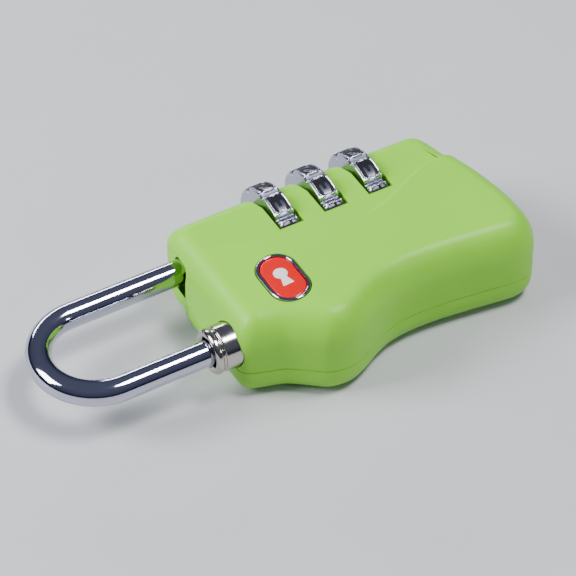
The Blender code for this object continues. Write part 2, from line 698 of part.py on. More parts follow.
def make_dials(chrome, brass, steel, dial_axis):
    for number, x in enumerate(DIAL_X, start=1):
        place = (x, 0, 0)
        add_object(f"dial_{number}", dial_mesh(), chrome, place, dial_axis, DIAL_REST_ANGLE)
        start, end = SLEEVE_X
        profile = [(start, 2.05), (GATE_DISC_X[1], 2.05), (GATE_DISC_X[1], SLEEVE_CLEAR_RADIUS),
                   (end, SLEEVE_CLEAR_RADIUS), (end, SLEEVE_RADIUS), (-1.6, SLEEVE_RADIUS),
                   (-1.6, SLEEVE_NOSE_RADIUS), (start, SLEEVE_NOSE_RADIUS)]
        sleeve = add_object(f"dial_sleeve_{number}", turned(profile, 28), brass, place, dial_axis)
        tooth = tool(f"tooth_tool_{number}",
                     block((-1.1, 1.2), (SLEEVE_RADIUS - 0.3, DIAL_BORE + 0.35), (-0.33, 0.33)),
                     place, dial_axis, DIAL_REST_ANGLE)
        combine(sleeve, [tooth], "UNION")
        gate = tool(f"gate_tool_{number}",
                    block((start - 0.5, GATE_DISC_X[1] + 0.5), (-SLEEVE_CLEAR_RADIUS, 0),
                          (-GATE_WIDTH / 2, GATE_WIDTH / 2)), place, dial_axis)
        combine(sleeve, [gate], "DIFFERENCE")
        wave = wave_washer((end + 0.55, 0.18), (SLEEVE_CLEAR_RADIUS + 0.05, SLEEVE_RADIUS))
        add_object(f"sleeve_spring_{number}", wave, steel, place, dial_axis)


def wave_washer(height, radii, steps=36):
    """A thin washer whose height along X rises and falls three times round."""
    x, swing = height
    thickness = 0.15
    rings = []
    for index in range(steps):
        angle = math.tau * index / steps
        bend = x + swing * math.sin(3 * angle)
        corners = [(bend - thickness / 2, radii[0]), (bend + thickness / 2, radii[0]),
                   (bend + thickness / 2, radii[1]), (bend - thickness / 2, radii[1])]
        rings.append([(cx, r * math.cos(angle), r * math.sin(angle)) for cx, r in corners])
    return loft(rings, join_ends=True)


def make_detent_springs(steel):
    """A bent leaf against the hidden side of each dial."""
    leaf = ((-0.55, 3.2), (-0.55, 5.2), (-0.15, 6.8), (0.02, 7.4), (-0.15, 8.0), (-0.55, 9.8))
    half_width, half_thick = 0.9, 0.1
    for number, x in enumerate(DIAL_X, start=1):
        rings = [[(x - half_width, y - half_thick, z), (x + half_width, y - half_thick, z),
                  (x + half_width, y + half_thick, z), (x - half_width, y + half_thick, z)]
                 for y, z in leaf]
        add_object(f"detent_spring_{number}", loft(rings), steel)


# --- collar and key mechanism ---------------------------------------------------------------
def make_collar(nickel, zinc, steel, key_axis):
    front, radius = COLLAR_FRONT_X, COLLAR_RADIUS
    profile = [(front, COLLAR_BORE + 0.25), (front + 0.25, COLLAR_BORE), (-17.2, COLLAR_BORE),
               (-17.2, FLANGE_RADIUS), (-17.9, FLANGE_RADIUS), (-17.9, radius),
               (front + 1.35, radius), (front + 1.25, radius - 0.3), (front + 0.95, radius - 0.3),
               (front + 0.85, radius), (front + 0.3, radius), (front, radius - 0.3)]
    add_object("shackle_collar", turned(profile, 28), nickel, parent=key_axis)

    head = [(-16.9, 0), (-16.9, 3.2), (-15.8, 3.2), (-15.8, 1.2), (ARM_X[1], 1.2), (ARM_X[1], 0)]
    slider = add_object("collar_slider", turned(head, 20), zinc, parent=key_axis)
    arm = [block(ARM_X, (-0.9, 0.9), (-4.6, 0.6)),
           block((ARM_X[0] + 0.1, LUG_X[1] - 0.1), (-0.8, 0.8), (-4.8, -3.85)),
           block(LUG_X, (-0.7, 0.7), (-4.7, -2.2))]
    names = ("arm_tool_1", "arm_tool_2", "arm_tool_3")
    combine(slider, [tool(name, shape, parent=key_axis) for name, shape in zip(names, arm)], "UNION")
    spring = coil_spring((-15.65, -9.25), 2.1, 0.22, 6)
    add_object("collar_spring", spring, steel, parent=key_axis)


def cam_face(angle):
    """Height of the cam's ramp at an angle; it rises through a quarter turn."""
    quarter, dwell = math.pi / 2, math.radians(18)
    back = (-math.pi / 2 - angle) % math.tau
    if back > quarter + dwell:
        return CAM_LOW_X
    return CAM_LOW_X + COLLAR_TRAVEL * min(back / quarter, 1.0)


def make_key_cam(zinc, key_axis):
    """A drum on a shaft, with a helical ramp facing the key."""
    steps = 48
    radii = (1.7, CAM_RADIUS)
    rings = []
    for index in range(steps):
        angle = math.tau * index / steps
        side, up = math.cos(angle), math.sin(angle)
        ramp = cam_face(angle)
        section = [(CAM_X, 1.0), (CAM_X, radii[1]), (ramp, radii[1]), (ramp, radii[0]),
                   (PLUG_X[0] - GAP, radii[0]), (PLUG_X[0] - GAP, 1.0)]
        rings.append([(x, r * side, r * up) for x, r in section])
    add_object("key_cam", loft(rings, join_ends=True), zinc, parent=key_axis)


def make_key_cylinder(brass, steel, key_axis):
    start, end = HOUSING_X
    housing = turned([(start, PLUG_RADIUS + GAP), (end - 1.0, PLUG_RADIUS + GAP),
                      (end - 1.0, PLUG_RADIUS + GAP + 0.25), (end, PLUG_RADIUS + GAP + 0.25),
                      (end, HOUSING_RADIUS), (start, HOUSING_RADIUS)], 32)
    add_object("key_housing", housing, brass, parent=key_axis)

    start, end = PLUG_X
    plug_profile = [(start, 0), (start, 3.3), (start + 0.15, 3.3), (start + 0.15, 3.0),
                    (start + 0.85, 3.0), (start + 0.85, PLUG_RADIUS), (end - 0.2, PLUG_RADIUS),
                    (end, PLUG_RADIUS - 0.2), (end, 0)]
    plug = add_object("key_plug", turned(plug_profile, 32), brass, parent=key_axis)
    cuts = [tool("keyway_tool", block((start + 1.63, end + 1), (-0.56, 0.56), (-2.41, 2.03)),
                 parent=key_axis),
            tool("cam_screw_bore_tool", turned([(start - 1, 0), (start - 1, 1.0), (start + 1.2, 1.0),
                                                (start + 1.2, 0)], 20), parent=key_axis)]
    for number, x in enumerate(WAFER_X, start=1):
        cuts.append(tool(f"wafer_slot_tool_{number}",
                         block((x - 0.55, x + 0.55), (-1.93, 1.93), (-2.93, 4.5)), parent=key_axis))
    combine(plug, cuts, "DIFFERENCE")
    for number, x in enumerate(WAFER_X, start=1):
        add_object(f"wafer_{number}", wafer_mesh(x), steel, parent=key_axis)

    clip = arc_ring((start + 0.35, start + 0.75), (3.15, 4.3), math.radians(-60), math.radians(290))
    add_object("plug_clip", clip, steel, parent=key_axis)
    screw = [(CAM_X - 1.3, 0), (CAM_X - 1.3, 1.3), (CAM_X - 1.1, 1.5), (CAM_X - GAP, 1.5),
             (CAM_X - GAP, 0.7), (start + 0.8, 0.7), (start + 0.8, 0)]
    piece = add_object("cam_screw", turned(screw, 20), steel, parent=key_axis)
    slot = tool("cam_screw_slot_tool", block((CAM_X - 1.5, CAM_X - 0.85), (-2, 2), (-0.2, 0.2)),
                parent=key_axis)
    combine(piece, [slot], "DIFFERENCE")


def wafer_mesh(x):
    """A thin plate with a window that the key passes through."""
    thickness = 0.25
    outside = [(-1.65, -2.65), (1.65, -2.65), (1.65, 2.7), (-1.65, 2.7)]
    window = [(-0.7, -1.7), (0.7, -1.7), (0.7, 1.5), (-0.7, 1.5)]
    rings = [[(x + side * thickness, y, z) for y, z in outline]
             for outline, side in ((outside, -1), (outside, 1), (window, 1), (window, -1))]
    return loft(rings, join_ends=True)


def main():
    clear_scene()
    green = principled("green_abs", (0.36, 0.57, 0.16), 0.42)
    chrome = principled("chrome", (0.78, 0.79, 0.85), 0.08, 1.0)
    nickel = principled("nickel", (0.72, 0.69, 0.66), 0.16, 1.0)
    zinc = principled("zinc", (0.45, 0.46, 0.48), 0.45, 1.0)
    steel = principled("spring_steel", (0.55, 0.56, 0.58), 0.28, 1.0)
    brass = principled("brass", (0.72, 0.56, 0.26), 0.3, 1.0)
    enamel = principled("red_enamel", (0.68, 0.04, 0.04), 0.18)

    dial_axis = empty("dial_axis", (0, LEG_Y, AXIS_Z))
    key_axis = empty("key_axis", (0, -LEG_Y, AXIS_Z))

    make_covers(green, dial_axis, key_axis)
    make_badge(chrome, enamel)
    make_cover_screws(steel)
    make_frame(zinc, dial_axis, key_axis)
    make_shackle(chrome, steel, dial_axis)
    make_dials(chrome, brass, steel, dial_axis)
    make_detent_springs(steel)
    make_collar(nickel, zinc, steel, key_axis)
    make_key_cam(zinc, key_axis)
    make_key_cylinder(brass, steel, key_axis)


main()
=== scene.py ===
"""Looks for a luggage combination padlock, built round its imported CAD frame.

The frame lies on its back: +X runs from the shackle to the key end, +Y towards the
dials and +Z out of the front face. Shapes are worked out in millimetres and become
metres when a mesh is made.
"""

import json
import math

import bmesh
import bpy
from bpy.props import FloatProperty, FloatVectorProperty, PointerProperty
from mathutils import Matrix, Vector


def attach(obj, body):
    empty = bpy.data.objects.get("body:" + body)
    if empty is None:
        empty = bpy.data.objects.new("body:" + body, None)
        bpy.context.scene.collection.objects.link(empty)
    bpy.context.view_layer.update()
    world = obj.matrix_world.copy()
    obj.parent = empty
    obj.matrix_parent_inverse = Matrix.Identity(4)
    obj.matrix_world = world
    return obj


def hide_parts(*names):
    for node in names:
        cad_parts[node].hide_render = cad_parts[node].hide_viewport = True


bl_info = {
    "name": "Luggage Padlock Looks",
    "version": (1, 0, 0),
    "blender": (4, 5, 0),
    "location": "View3D > Sidebar > Padlock",
    "description": "Builds the finished looks of a three-dial luggage padlock",
    "category": "Object",
}

MM = 0.001

# --- sizes taken over from the CAD part, mm -------------------------------------------
END_X = -21.5
FAR_SIDE_Y = 11.8
LAND_Z = 12.9
RAISED_Z = 13.7
PARTING_Z = 4.5
STEP_WIDTH = 0.6
FRONT_EDGE = (3.2, 5.0)
BACK_EDGE = (2.8, 3.2)
WALL = 1.3
AXIS_Z = 7.2
LEG_Y = 7.45
ROD_RADIUS = 1.75
BEND_X = -36.85
SHORT_LEG_TIP_X = -21.25
LONG_LEG_TIP_X = 14.0
DIAL_X = (-6.15, 0.65, 7.45)
DIAL_RADIUS = 7.08
DIAL_WIDTH = 2.9
DIAL_PANELS = 10
DIAL_NOTCH_RADIUS = 6.45
DIAL_BORE = 3.3
DIAL_REST_ANGLE = math.radians(28.5)
DIAL_SLOT_GAP = 0.38
SCOOP_CORNERS = ((-1.7, 7.0, LAND_Z), (-3.2, 10.9, 11.6), (-1.6, 10.9, 10.3))
COLLAR_FRONT_X = -24.6
COLLAR_RADIUS = 3.12
COLLAR_BORE = 2.05
COLLAR_FLANGE = (-17.9, -17.2, 3.65)
RECESS_HALF = 3.4
RECESS_DEPTH = 1.4
KEY_FACE_X = 21.9
PLUG_RADIUS = 3.6
HOUSING_RADIUS = 4.7
HOUSING_X = (8.8, 21.5)
BADGE_X = -12.45
BADGE_Y = -5.9
BADGE_Z = 13.5
BADGE_SIZE = (5.5, 8.9)
BADGE_TILT = math.radians(3.5)
SCREW_PLACES = ((-16.2, 1.5), (-9.4, -13.0), (14.9, 2.3))

NEAR_SIDE = [(-18.1, -12.0), (-15.9, -12.75), (-13.6, -14.4), (-11.2, -16.1), (-8.2, -16.5),
             (-5.4, -15.6), (-2.4, -14.0), (0.8, -12.9), (5.0, -12.6), (10.5, -13.05), (17.4, -14.0)]
KEY_END = [(22.7, -9.6), (22.7, -7.0), (22.3, -3.5), (21.5, 0.5), (20.4, 4.3), (19.6, 7.4)]
FAR_SIDE = [(15.2, FAR_SIDE_Y), (-17.5, FAR_SIDE_Y)]
SHACKLE_END = [(END_X, 7.8), (END_X, 0.0), (END_X, -8.9)]
STEP_LINE = [(END_X, 4.7), (-19.4, 4.3), (-16.5, 3.65), (-13.9, 2.85), (-11.4, 2.0), (-9.0, 1.15),
             (-6.2, 0.4), (-3.6, -0.2), (-0.8, -0.6), (2.1, -0.82), (3.8, -0.65), (5.5, -0.15),
             (7.3, 0.5), (9.5, 1.55), (11.6, 2.55), (13.5, 3.3), (15.3, 3.8), (17.5, 4.0),
             (22.0, 4.1)]
STEP_FADE_X = (-20.5, -9.5)
CORNER_FULLNESS = (0.64, 0.5, 0.5, 0.5)

# --- the look's own sizes, mm ---------------------------------------------------------
COVER_ROWS = {"along": 96, "land": 14, "raised": 44}
EDGE_STEPS = 14
PARTING_GROOVE = 0.07         # half the visible line between the covers, and its depth

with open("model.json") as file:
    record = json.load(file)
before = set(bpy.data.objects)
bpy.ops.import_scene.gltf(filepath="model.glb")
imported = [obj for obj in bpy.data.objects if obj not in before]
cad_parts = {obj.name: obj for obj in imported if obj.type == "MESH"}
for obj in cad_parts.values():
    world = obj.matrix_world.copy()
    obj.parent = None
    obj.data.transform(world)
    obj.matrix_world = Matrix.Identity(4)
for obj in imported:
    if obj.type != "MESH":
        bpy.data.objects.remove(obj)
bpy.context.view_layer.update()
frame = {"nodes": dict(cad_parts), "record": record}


# --- mesh helpers -----------------------------------------------------------------------
def add_mesh(name, shape, materials, body, location=(0, 0, 0), turn=0.0, sharp=40):
    """Make a bmesh in millimetres an object that rides on a CAD body."""
    bmesh.ops.recalc_face_normals(shape, faces=shape.faces)
    bmesh.ops.scale(shape, vec=(MM, MM, MM), verts=shape.verts)
    mesh = bpy.data.meshes.new(name)
    shape.to_mesh(mesh)
    shape.free()
    mesh.shade_smooth()
    mesh.set_sharp_from_angle(angle=math.radians(sharp))
    for material in materials:
        mesh.materials.append(material)
    piece = bpy.data.objects.new(name, mesh)
    piece.location = Vector(location) * MM
    piece.rotation_euler = (turn, 0.0, 0.0)
    bpy.context.scene.collection.objects.link(piece)
    if body:
        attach(piece, body)
    return piece


def cutter(name, shape, location=(0, 0, 0), turn=0.0):
    """A shape for a Boolean; carve() uses it up."""
    return add_mesh(name, shape, [], None, location, turn)


def carve(piece, tools):
    """Cut the tools out of a piece and drop them."""
    for tool in tools:
        step = piece.modifiers.new(tool.name, "BOOLEAN")
        step.operation = "DIFFERENCE"
        step.solver = "EXACT"
        step.object = tool
    bake_modifiers(piece)
    for tool in tools:
        bpy.data.objects.remove(tool, do_unlink=True)


def bake_modifiers(piece):
    bpy.context.view_layer.update()
    graph = bpy.context.evaluated_depsgraph_get()
    baked = bpy.data.meshes.new_from_object(piece.evaluated_get(graph), depsgraph=graph)
    piece.modifiers.clear()
    piece.data = baked


def loft(rings, join_ends=False):
    """Skin a list of loops that have the same number of points."""
    shape = bmesh.new()
    loops = [[shape.verts.new(point) for point in ring] for ring in rings]
    count = len(rings[0])
    pairs = list(zip(loops, loops[1:]))
    if join_ends:
        pairs.append((loops[-1], loops[0]))
    for first, second in pairs:
        for index in range(count):
            following = (index + 1) % count
            shape.faces.new((first[index], first[following], second[following], second[index]))
    if not join_ends:
        shape.faces.new(loops[0])
        shape.faces.new(loops[-1])
    return shape


def turned(profile, segments=96):
    """Spin a closed (x, radius) outline about X; a radius of 0 lies on the axis."""
    shape = bmesh.new()
    rings = []
    for x, radius in profile:
        if radius == 0:
            rings.append([shape.verts.new((x, 0, 0))])
            continue
        angles = [math.tau * index / segments for index in range(segments)]
        rings.append([shape.verts.new((x, radius * math.cos(a), radius * math.sin(a)))
                      for a in angles])
    for first, second in zip(rings, rings[1:] + rings[:1]):
        if len(first) == 1 and len(second) == 1:
            continue
        for index in range(segments):
            following = (index + 1) % segments
            corners = [first[index % len(first)], first[following % len(first)],
                       second[following % len(second)], second[index % len(second)]]
            shape.faces.new(list(dict.fromkeys(corners)))
    return shape


def rounded_profile(points, radius, steps=4):
    """A closed (x, radius) outline with its corners rounded, except those on the axis."""
    result = []
    for index, point in enumerate(points):
        here = Vector(point)
        before, after = Vector(points[index - 1]), Vector(points[(index + 1) % len(points)])
        if here.y == 0:
            result.append((here.x, here.y))
            continue
        reach = min(radius, (before - here).length * 0.45, (after - here).length * 0.45)
        start = here + (before - here).normalized() * reach
        end = here + (after - here).normalized() * reach
        for step in range(steps + 1):
            t = step / steps
            spot = start.lerp(here, t).lerp(here.lerp(end, t), t)
            result.append((spot.x, spot.y))
    return result


def block(x_range, y_range, z_range):
    return loft([[(x, y_range[0], z_range[0]), (x, y_range[1], z_range[0]),
                  (x, y_range[1], z_range[1]), (x, y_range[0], z_range[1])] for x in x_range])


def smooth_curve(points, steps=24):
    """A Catmull-Rom curve through the points."""
    ends = [tuple(2 * a - b for a, b in zip(points[0], points[1])),
            tuple(2 * a - b for a, b in zip(points[-1], points[-2]))]
    full = [ends[0], *points, ends[1]]
    curve = []
    for index in range(1, len(full) - 2):
        before, start, end, after = (Vector((*full[index + shift], 0)) for shift in (-1, 0, 1, 2))
        for step in range(steps):
            t = step / steps
            curve.append(0.5 * (2 * start + (end - before) * t
                                + (2 * before - 5 * start + 4 * end - after) * t ** 2
                                + (3 * start - before - 3 * end + after) * t ** 3))
    curve.append(Vector((*points[-1], 0)))
    return curve


def corner_curve(first, second, fullness, steps=24):
    """A squared-off round between the end of one curve and the start of the next."""
    start, end = first[-1], second[0]
    reach = (end - start).length * fullness
    leave = (first[-1] - first[-2]).normalized() * reach
    arrive = (second[1] - second[0]).normalized() * reach
    points = []
    for step in range(steps + 1):
        t = step / steps
        points.append((1 - t) ** 3 * start + 3 * (1 - t) ** 2 * t * (start + leave)
                      + 3 * (1 - t) * t ** 2 * (end - arrive) + t ** 3 * end)
    return points


def offset_curve(curve, distance):
    """Move a curve sideways, to the left of its direction."""
    moved = []
    for index, point in enumerate(curve):
        before, after = curve[max(index - 1, 0)], curve[min(index + 1, len(curve) - 1)]
        along = (after - before).normalized()
        moved.append(point + Vector((-along.y, along.x, 0)) * distance)
    return moved


def even_shares(count):
    return [index / count for index in range(count + 1)]


def warped_shares(count, focus, crowd=1.1):
    """Shares from 0 to 1 that crowd towards one end, so that the step is drawn finely."""
    if focus == "start":
        return [share ** (1 + crowd) for share in even_shares(count)]
    return [1 - (1 - share) ** (1 + crowd) for share in even_shares(count)]


def spaced(curve, shares):
    """Points at the given shares of a curve's length."""
    lengths = [0.0]
    for first, second in zip(curve, curve[1:]):
        lengths.append(lengths[-1] + (second - first).length)
    points, segment = [], 0
    for share_along in shares:
        target = lengths[-1] * share_along
        while segment < len(curve) - 2 and lengths[segment + 1] < target:
            segment += 1
        span = lengths[segment + 1] - lengths[segment]
        share = (target - lengths[segment]) / span if span else 0.0
        points.append(curve[segment].lerp(curve[segment + 1], min(share, 1.0)))
    return points


def ease(value, low, high):
    share = min(max((value - low) / (high - low), 0.0), 1.0)
    return share * share * (3 - 2 * share)


# --- body shape -------------------------------------------------------------------------
def split_at_y(curve, level):
    """Cut a curve where it crosses a Y level."""
    for index, (first, second) in enumerate(zip(curve, curve[1:])):
        if (first.y - level) * (second.y - level) <= 0 and first.y != second.y:
            crossing = first.lerp(second, (level - first.y) / (second.y - first.y))
            return curve[:index + 1] + [crossing], [crossing] + curve[index + 1:]
    raise ValueError("the curve doesn't reach that level")


def body_loop(inset=0.0):
    """The body's outline, moved inwards, from the far corner by the shackle round by the
    shackle end, the near side, the key end and the far side."""
    front, near, key, far = (offset_curve(smooth_curve(side), inset) for side in
                             (SHACKLE_END, NEAR_SIDE, KEY_END, FAR_SIDE))
    meetings = ((far, front), (front, near), (near, key), (key, far))
    corners = [corner_curve(first, second, fullness)
               for (first, second), fullness in zip(meetings, CORNER_FULLNESS)]
    half = len(corners[0]) // 2
    sides = []
    for index, side in enumerate((front, near, key, far)):
        arriving, leaving = corners[index], corners[(index + 1) % 4]
        sides.append(arriving[half:] + side[1:-1] + leaving[:half + 1])
    front, near, key, far = sides
    rows, land, raised = COVER_ROWS["along"], COVER_ROWS["land"], COVER_ROWS["raised"]
    front_land, front_raised = split_at_y(front, STEP_LINE[0][1])
    key_raised, key_land = split_at_y(key, STEP_LINE[-1][1])
    return (spaced(front_land, warped_shares(land, "end"))
            + spaced(front_raised, warped_shares(raised, "start"))[1:]
            + spaced(near, even_shares(rows))[1:]
            + spaced(key_raised, warped_shares(raised, "end"))[1:]
            + spaced(key_land, warped_shares(land, "start"))[1:]
            + spaced(far, even_shares(rows))[1:-1])


STEP_CURVE = spaced(smooth_curve(STEP_LINE), even_shares(900))


def step_line_y(x):
    return min(STEP_CURVE, key=lambda point: abs(point.x - x)).y


def front_height(x, y):
    """Height of the front face: a step with a round brow that grows away from the shackle."""
    into_round = min(max((y - step_line_y(x)) / STEP_WIDTH + 1, 0.0), 1.0)
    across = math.sqrt(1 - into_round ** 2)
    return LAND_Z + (RAISED_Z - LAND_Z) * ease(x, *STEP_FADE_X) * across


def add_loop(shape, loop, heights):
    return [shape.verts.new((point.x, point.y, z)) for point, z in zip(loop, heights)]


def join_loops(shape, first, second):
    count = len(first)
    for index in range(count):
        following = (index + 1) % count
        shape.faces.new((first[index], first[following], second[following], second[index]))


def face_grid(shape, loop, loop_verts, height_of):
    """Fill the face inside the last loop with quads that follow the step."""
    along, land, raised = COVER_ROWS["along"], COVER_ROWS["land"], COVER_ROWS["raised"]
    rows = land + raised
    land_shares, raised_shares = warped_shares(land, "end"), warped_shares(raised, "start")
    grid = []
    for station in range(along + 1):
        near_point = loop[rows + station]
        far_point = loop[-station] if station else loop[0]
        middle_x = 0.5 * (near_point.x + far_point.x)
        edge = Vector((middle_x, step_line_y(middle_x), 0))
        column = [far_point.lerp(edge, share) for share in land_shares]
        column += [edge.lerp(near_point, share) for share in raised_shares[1:]]
        verts = []
        for row, point in enumerate(column):
            if station == 0:
                verts.append(loop_verts[row])
            elif station == along:
                verts.append(loop_verts[rows + along + rows - row])
            elif row == 0:
                verts.append(loop_verts[-station])
            elif row == rows:
                verts.append(loop_verts[rows + station])
            else:
                verts.append(shape.verts.new((point.x, point.y, height_of(point.x, point.y))))
        grid.append(verts)
    for left, right in zip(grid, grid[1:]):
        for row in range(rows):
            shape.faces.new((left[row], left[row + 1], right[row + 1], right[row]))


def edge_rounding(edge, steps):
    """(inwards, downwards) offsets from the face's level, from the wall to the face."""
    inwards, downwards = edge
    angles = [0.5 * math.pi * step / steps for step in range(steps + 1)]
    return [(inwards * (1 - math.cos(a)), downwards * (1 - math.sin(a))) for a in angles]


def cover_shape(is_front):
    """A cover's outer skin, its cavity and the rim that joins them at the parting."""
    sign = 1 if is_front else -1
    loop = body_loop()
    edge = FRONT_EDGE if is_front else BACK_EDGE
    shape = bmesh.new()
    rings = []
    groove = body_loop(PARTING_GROOVE)
    parting = [PARTING_Z + sign * 0.02] * len(loop)
    lip = [PARTING_Z + sign * PARTING_GROOVE] * len(loop)
    middle = [PARTING_Z + sign * 0.9] * len(loop)
    rings.append(add_loop(shape, groove, parting))
    rings.append(add_loop(shape, loop, lip))
    rings.append(add_loop(shape, loop, middle))
    last_loop = loop
    for inwards, downwards in edge_rounding(edge, EDGE_STEPS):
        last_loop = body_loop(inwards)
        if is_front:
            heights = [front_height(p.x, p.y) - downwards for p in last_loop]
        else:
            heights = [downwards] * len(last_loop)
        rings.append(add_loop(shape, last_loop, heights))
    for first, second in zip(rings, rings[1:]):
        join_loops(shape, first, second)
    face_grid(shape, last_loop, rings[-1], front_height if is_front else lambda x, y: 0.0)
    cavity_top = LAND_Z - WALL if is_front else WALL
    cavity = [add_loop(shape, body_loop(WALL), parting)]
    for step in range(4):
        angle = math.pi * step / 6
        inset = edge[0] * (1 - math.cos(angle)) + WALL * math.cos(angle)
        drop = (edge[1] - WALL) * (1 - math.sin(angle))
        cavity.append(add_loop(shape, body_loop(inset), [cavity_top - sign * drop] * len(loop)))
    for first, second in zip(cavity, cavity[1:]):
        join_loops(shape, first, second)
    shape.faces.new(cavity[-1])
    join_loops(shape, rings[0], cavity[0])
    return shape


# --- cuts that both covers share ----------------------------------------------------------
def recess_shape(x_range, corner=1.5, steps=10):
    """A notch round the long leg, open to the far side and the back, with one round corner."""
    points = [(LEG_Y, -10), (LEG_Y, RECESS_HALF)]
    for step in range(steps + 1):
        angle = 0.5 * math.pi * (1 + step / steps)
        points.append((corner - RECESS_HALF + corner * math.cos(angle),
                       RECESS_HALF - corner + corner * math.sin(angle)))
    points.append((-RECESS_HALF, -10))
    return loft([[(x, y, z) for y, z in points] for x in x_range])


def cylinder(x_range, radius, segments=72):
    return turned([(x_range[0], 0), (x_range[0], radius), (x_range[1], radius), (x_range[1], 0)],
                  segments)


def shared_cuts():
    on_dials, on_key = (0, LEG_Y, AXIS_Z), (0, -LEG_Y, AXIS_Z)
    cuts = []
    half = DIAL_WIDTH / 2 + DIAL_SLOT_GAP
    for number, x in enumerate(DIAL_X, start=1):
        cuts.append(cutter(f"dial_slot_{number}",
                           cylinder((-half, half), DIAL_RADIUS + DIAL_SLOT_GAP, 120),
                           (x, LEG_Y, AXIS_Z)))
    outside = END_X - 3
    recess = (outside, END_X + RECESS_DEPTH)
    cuts.append(cutter("long_leg_hole", cylinder((outside, END_X + 6), 1.95), on_dials))
    cuts.append(cutter("long_leg_recess", recess_shape(recess), on_dials))
    cuts.append(cutter("collar_hole", cylinder((outside, END_X + 6), COLLAR_RADIUS + 0.1), on_key))
    cuts.append(cutter("key_hole", cylinder((7, 25), HOUSING_RADIUS + 0.12), on_key))
    return cuts


def scoop_cuts():
    """A sloping cut on the shackle side of each dial, where a finger reaches in."""
    cuts = []
    lift = Vector((0, 3, 10))
    top, far, deep = (Vector(corner) for corner in SCOOP_CORNERS)
    corners = [top, top + (far - top) * 1.6, top + (deep - top) * 1.6]
    for number, x in enumerate(DIAL_X, start=1):
        scoop = loft([corners, [corner + lift for corner in corners]])
        cuts.append(cutter(f"finger_scoop_{number}", scoop, (x, 0, 0)))
    return cuts


# --- finishes ---------------------------------------------------------------------------
class Wire:
    """A socket in a material, on which Python's arithmetic adds Math nodes."""

    def __init__(self, finish, socket):
        self.finish = finish
        self.socket = socket

    def _maths(self, operation, first, second):
        node = self.finish.node("ShaderNodeMath", {"operation": operation}, {0: first, 1: second})
        return Wire(self.finish, node.outputs[0])

    def __add__(self, other):
        return self._maths("ADD", self, other)

    def __radd__(self, other):
        return self._maths("ADD", other, self)

    def __sub__(self, other):
        return self._maths("SUBTRACT", self, other)

    def __rsub__(self, other):
        return self._maths("SUBTRACT", other, self)

    def __mul__(self, other):
        return self._maths("MULTIPLY", self, other)

    def __rmul__(self, other):
        return self._maths("MULTIPLY", other, self)

    def __pow__(self, other):
        return self._maths("POWER", self, other)


class Finish:
    """A material built round one Principled shader."""

    def __init__(self, name, colour, roughness, metallic=0.0, **constants):
        self.material = bpy.data.materials.new(name)
        self.material.use_nodes = True
        self.material.diffuse_color = (*colour, 1.0)
        self.tree = self.material.node_tree
        self.shader = self.tree.nodes["Principled BSDF"]
        self.set("Base Color", (*colour, 1.0))
        self.set("Roughness", roughness)
        self.set("Metallic", metallic)
        for socket, value in constants.items():
            self.set(socket.replace("_", " "), value)

    def node(self, kind, settings, inputs):
        """Add a node, set its options and a ramp's stops first, then fill its sockets."""
        node = self.tree.nodes.new(kind)
        for key, value in settings.items():
            if key == "stops":
                ramp = node.color_ramp
                while len(ramp.elements) < len(value):
                    ramp.elements.new(0.5)
                for stop, (place, colour) in zip(ramp.elements, value):
                    stop.position = place
                    stop.color = (*colour, 1.0)
            else:
                setattr(node, key, value)
        for key, value in inputs.items():
            if isinstance(value, Wire):
                self.tree.links.new(value.socket, node.inputs[key])
            else:
                node.inputs[key].default_value = value
        return node

    def wire(self, node, output=0):
        return Wire(self, node.outputs[output])

    def set(self, socket, value):
        if isinstance(value, Wire):
            self.tree.links.new(value.socket, self.shader.inputs[socket])
        else:
            self.shader.inputs[socket].default_value = value

    def place(self):
        return self.wire(self.node("ShaderNodeTexCoord", {}, {}), "Object")

    def noise(self, per_mm, detail=2.0, roughness=0.5):
        """Noise from 0 to 1 with about per_mm lumps in each millimetre."""
        return self.wire(self.node("ShaderNodeTexNoise", {},
                                   {"Vector": self.place(), "Scale": per_mm / MM, "Detail": detail,
                                    "Roughness": roughness}), "Fac")

    def brushed(self, per_mm, stretch):
        """Noise drawn out along one axis, for turned and drawn metal."""
        mapping = self.node("ShaderNodeMapping", {}, {"Vector": self.place(), "Scale": stretch})
        return self.wire(self.node("ShaderNodeTexNoise", {},
                                   {"Vector": self.wire(mapping), "Scale": per_mm / MM,
                                    "Detail": 2.0}), "Fac")

    def mix(self, share, first, second):
        node = self.node("ShaderNodeMix", {"data_type": "RGBA"},
                         {0: share, 6: (*first, 1.0), 7: (*second, 1.0)})
        return self.wire(node, 2)

    def bump(self, height, depth_mm, edge_mm=0.0):
        """Raise the surface by height, and let its sharp edges look a little rounded."""
        inputs = {"Height": height, "Strength": 1.0, "Distance": depth_mm * MM}
        if edge_mm:
            rounded = self.node("ShaderNodeBevel", {"samples": 6}, {"Radius": edge_mm * MM})
            inputs["Normal"] = self.wire(rounded)
        self.set("Normal", self.wire(self.node("ShaderNodeBump", {}, inputs)))


def shade(colour, factor):
    return tuple(min(channel * factor, 1.0) for channel in colour)


def lime_plastic(look):
    """Satin moulded ABS: fine spark grain and a faint cloudiness of the colour."""
    finish = Finish("lime satin plastic", look.body_colour, look.body_roughness,
                    Specular_IOR_Level=0.32)
    cloud = finish.noise(0.12, 2.0)
    grain = finish.noise(5.5, 1.0, 0.6)
    finish.set("Base Color", finish.mix(cloud, shade(look.body_colour, 0.95),
                                        shade(look.body_colour, 1.05)))
    finish.set("Roughness", look.body_roughness - 0.06 + 0.12 * grain)
    finish.bump(grain, look.grain_depth, 0.16)
    return finish.material


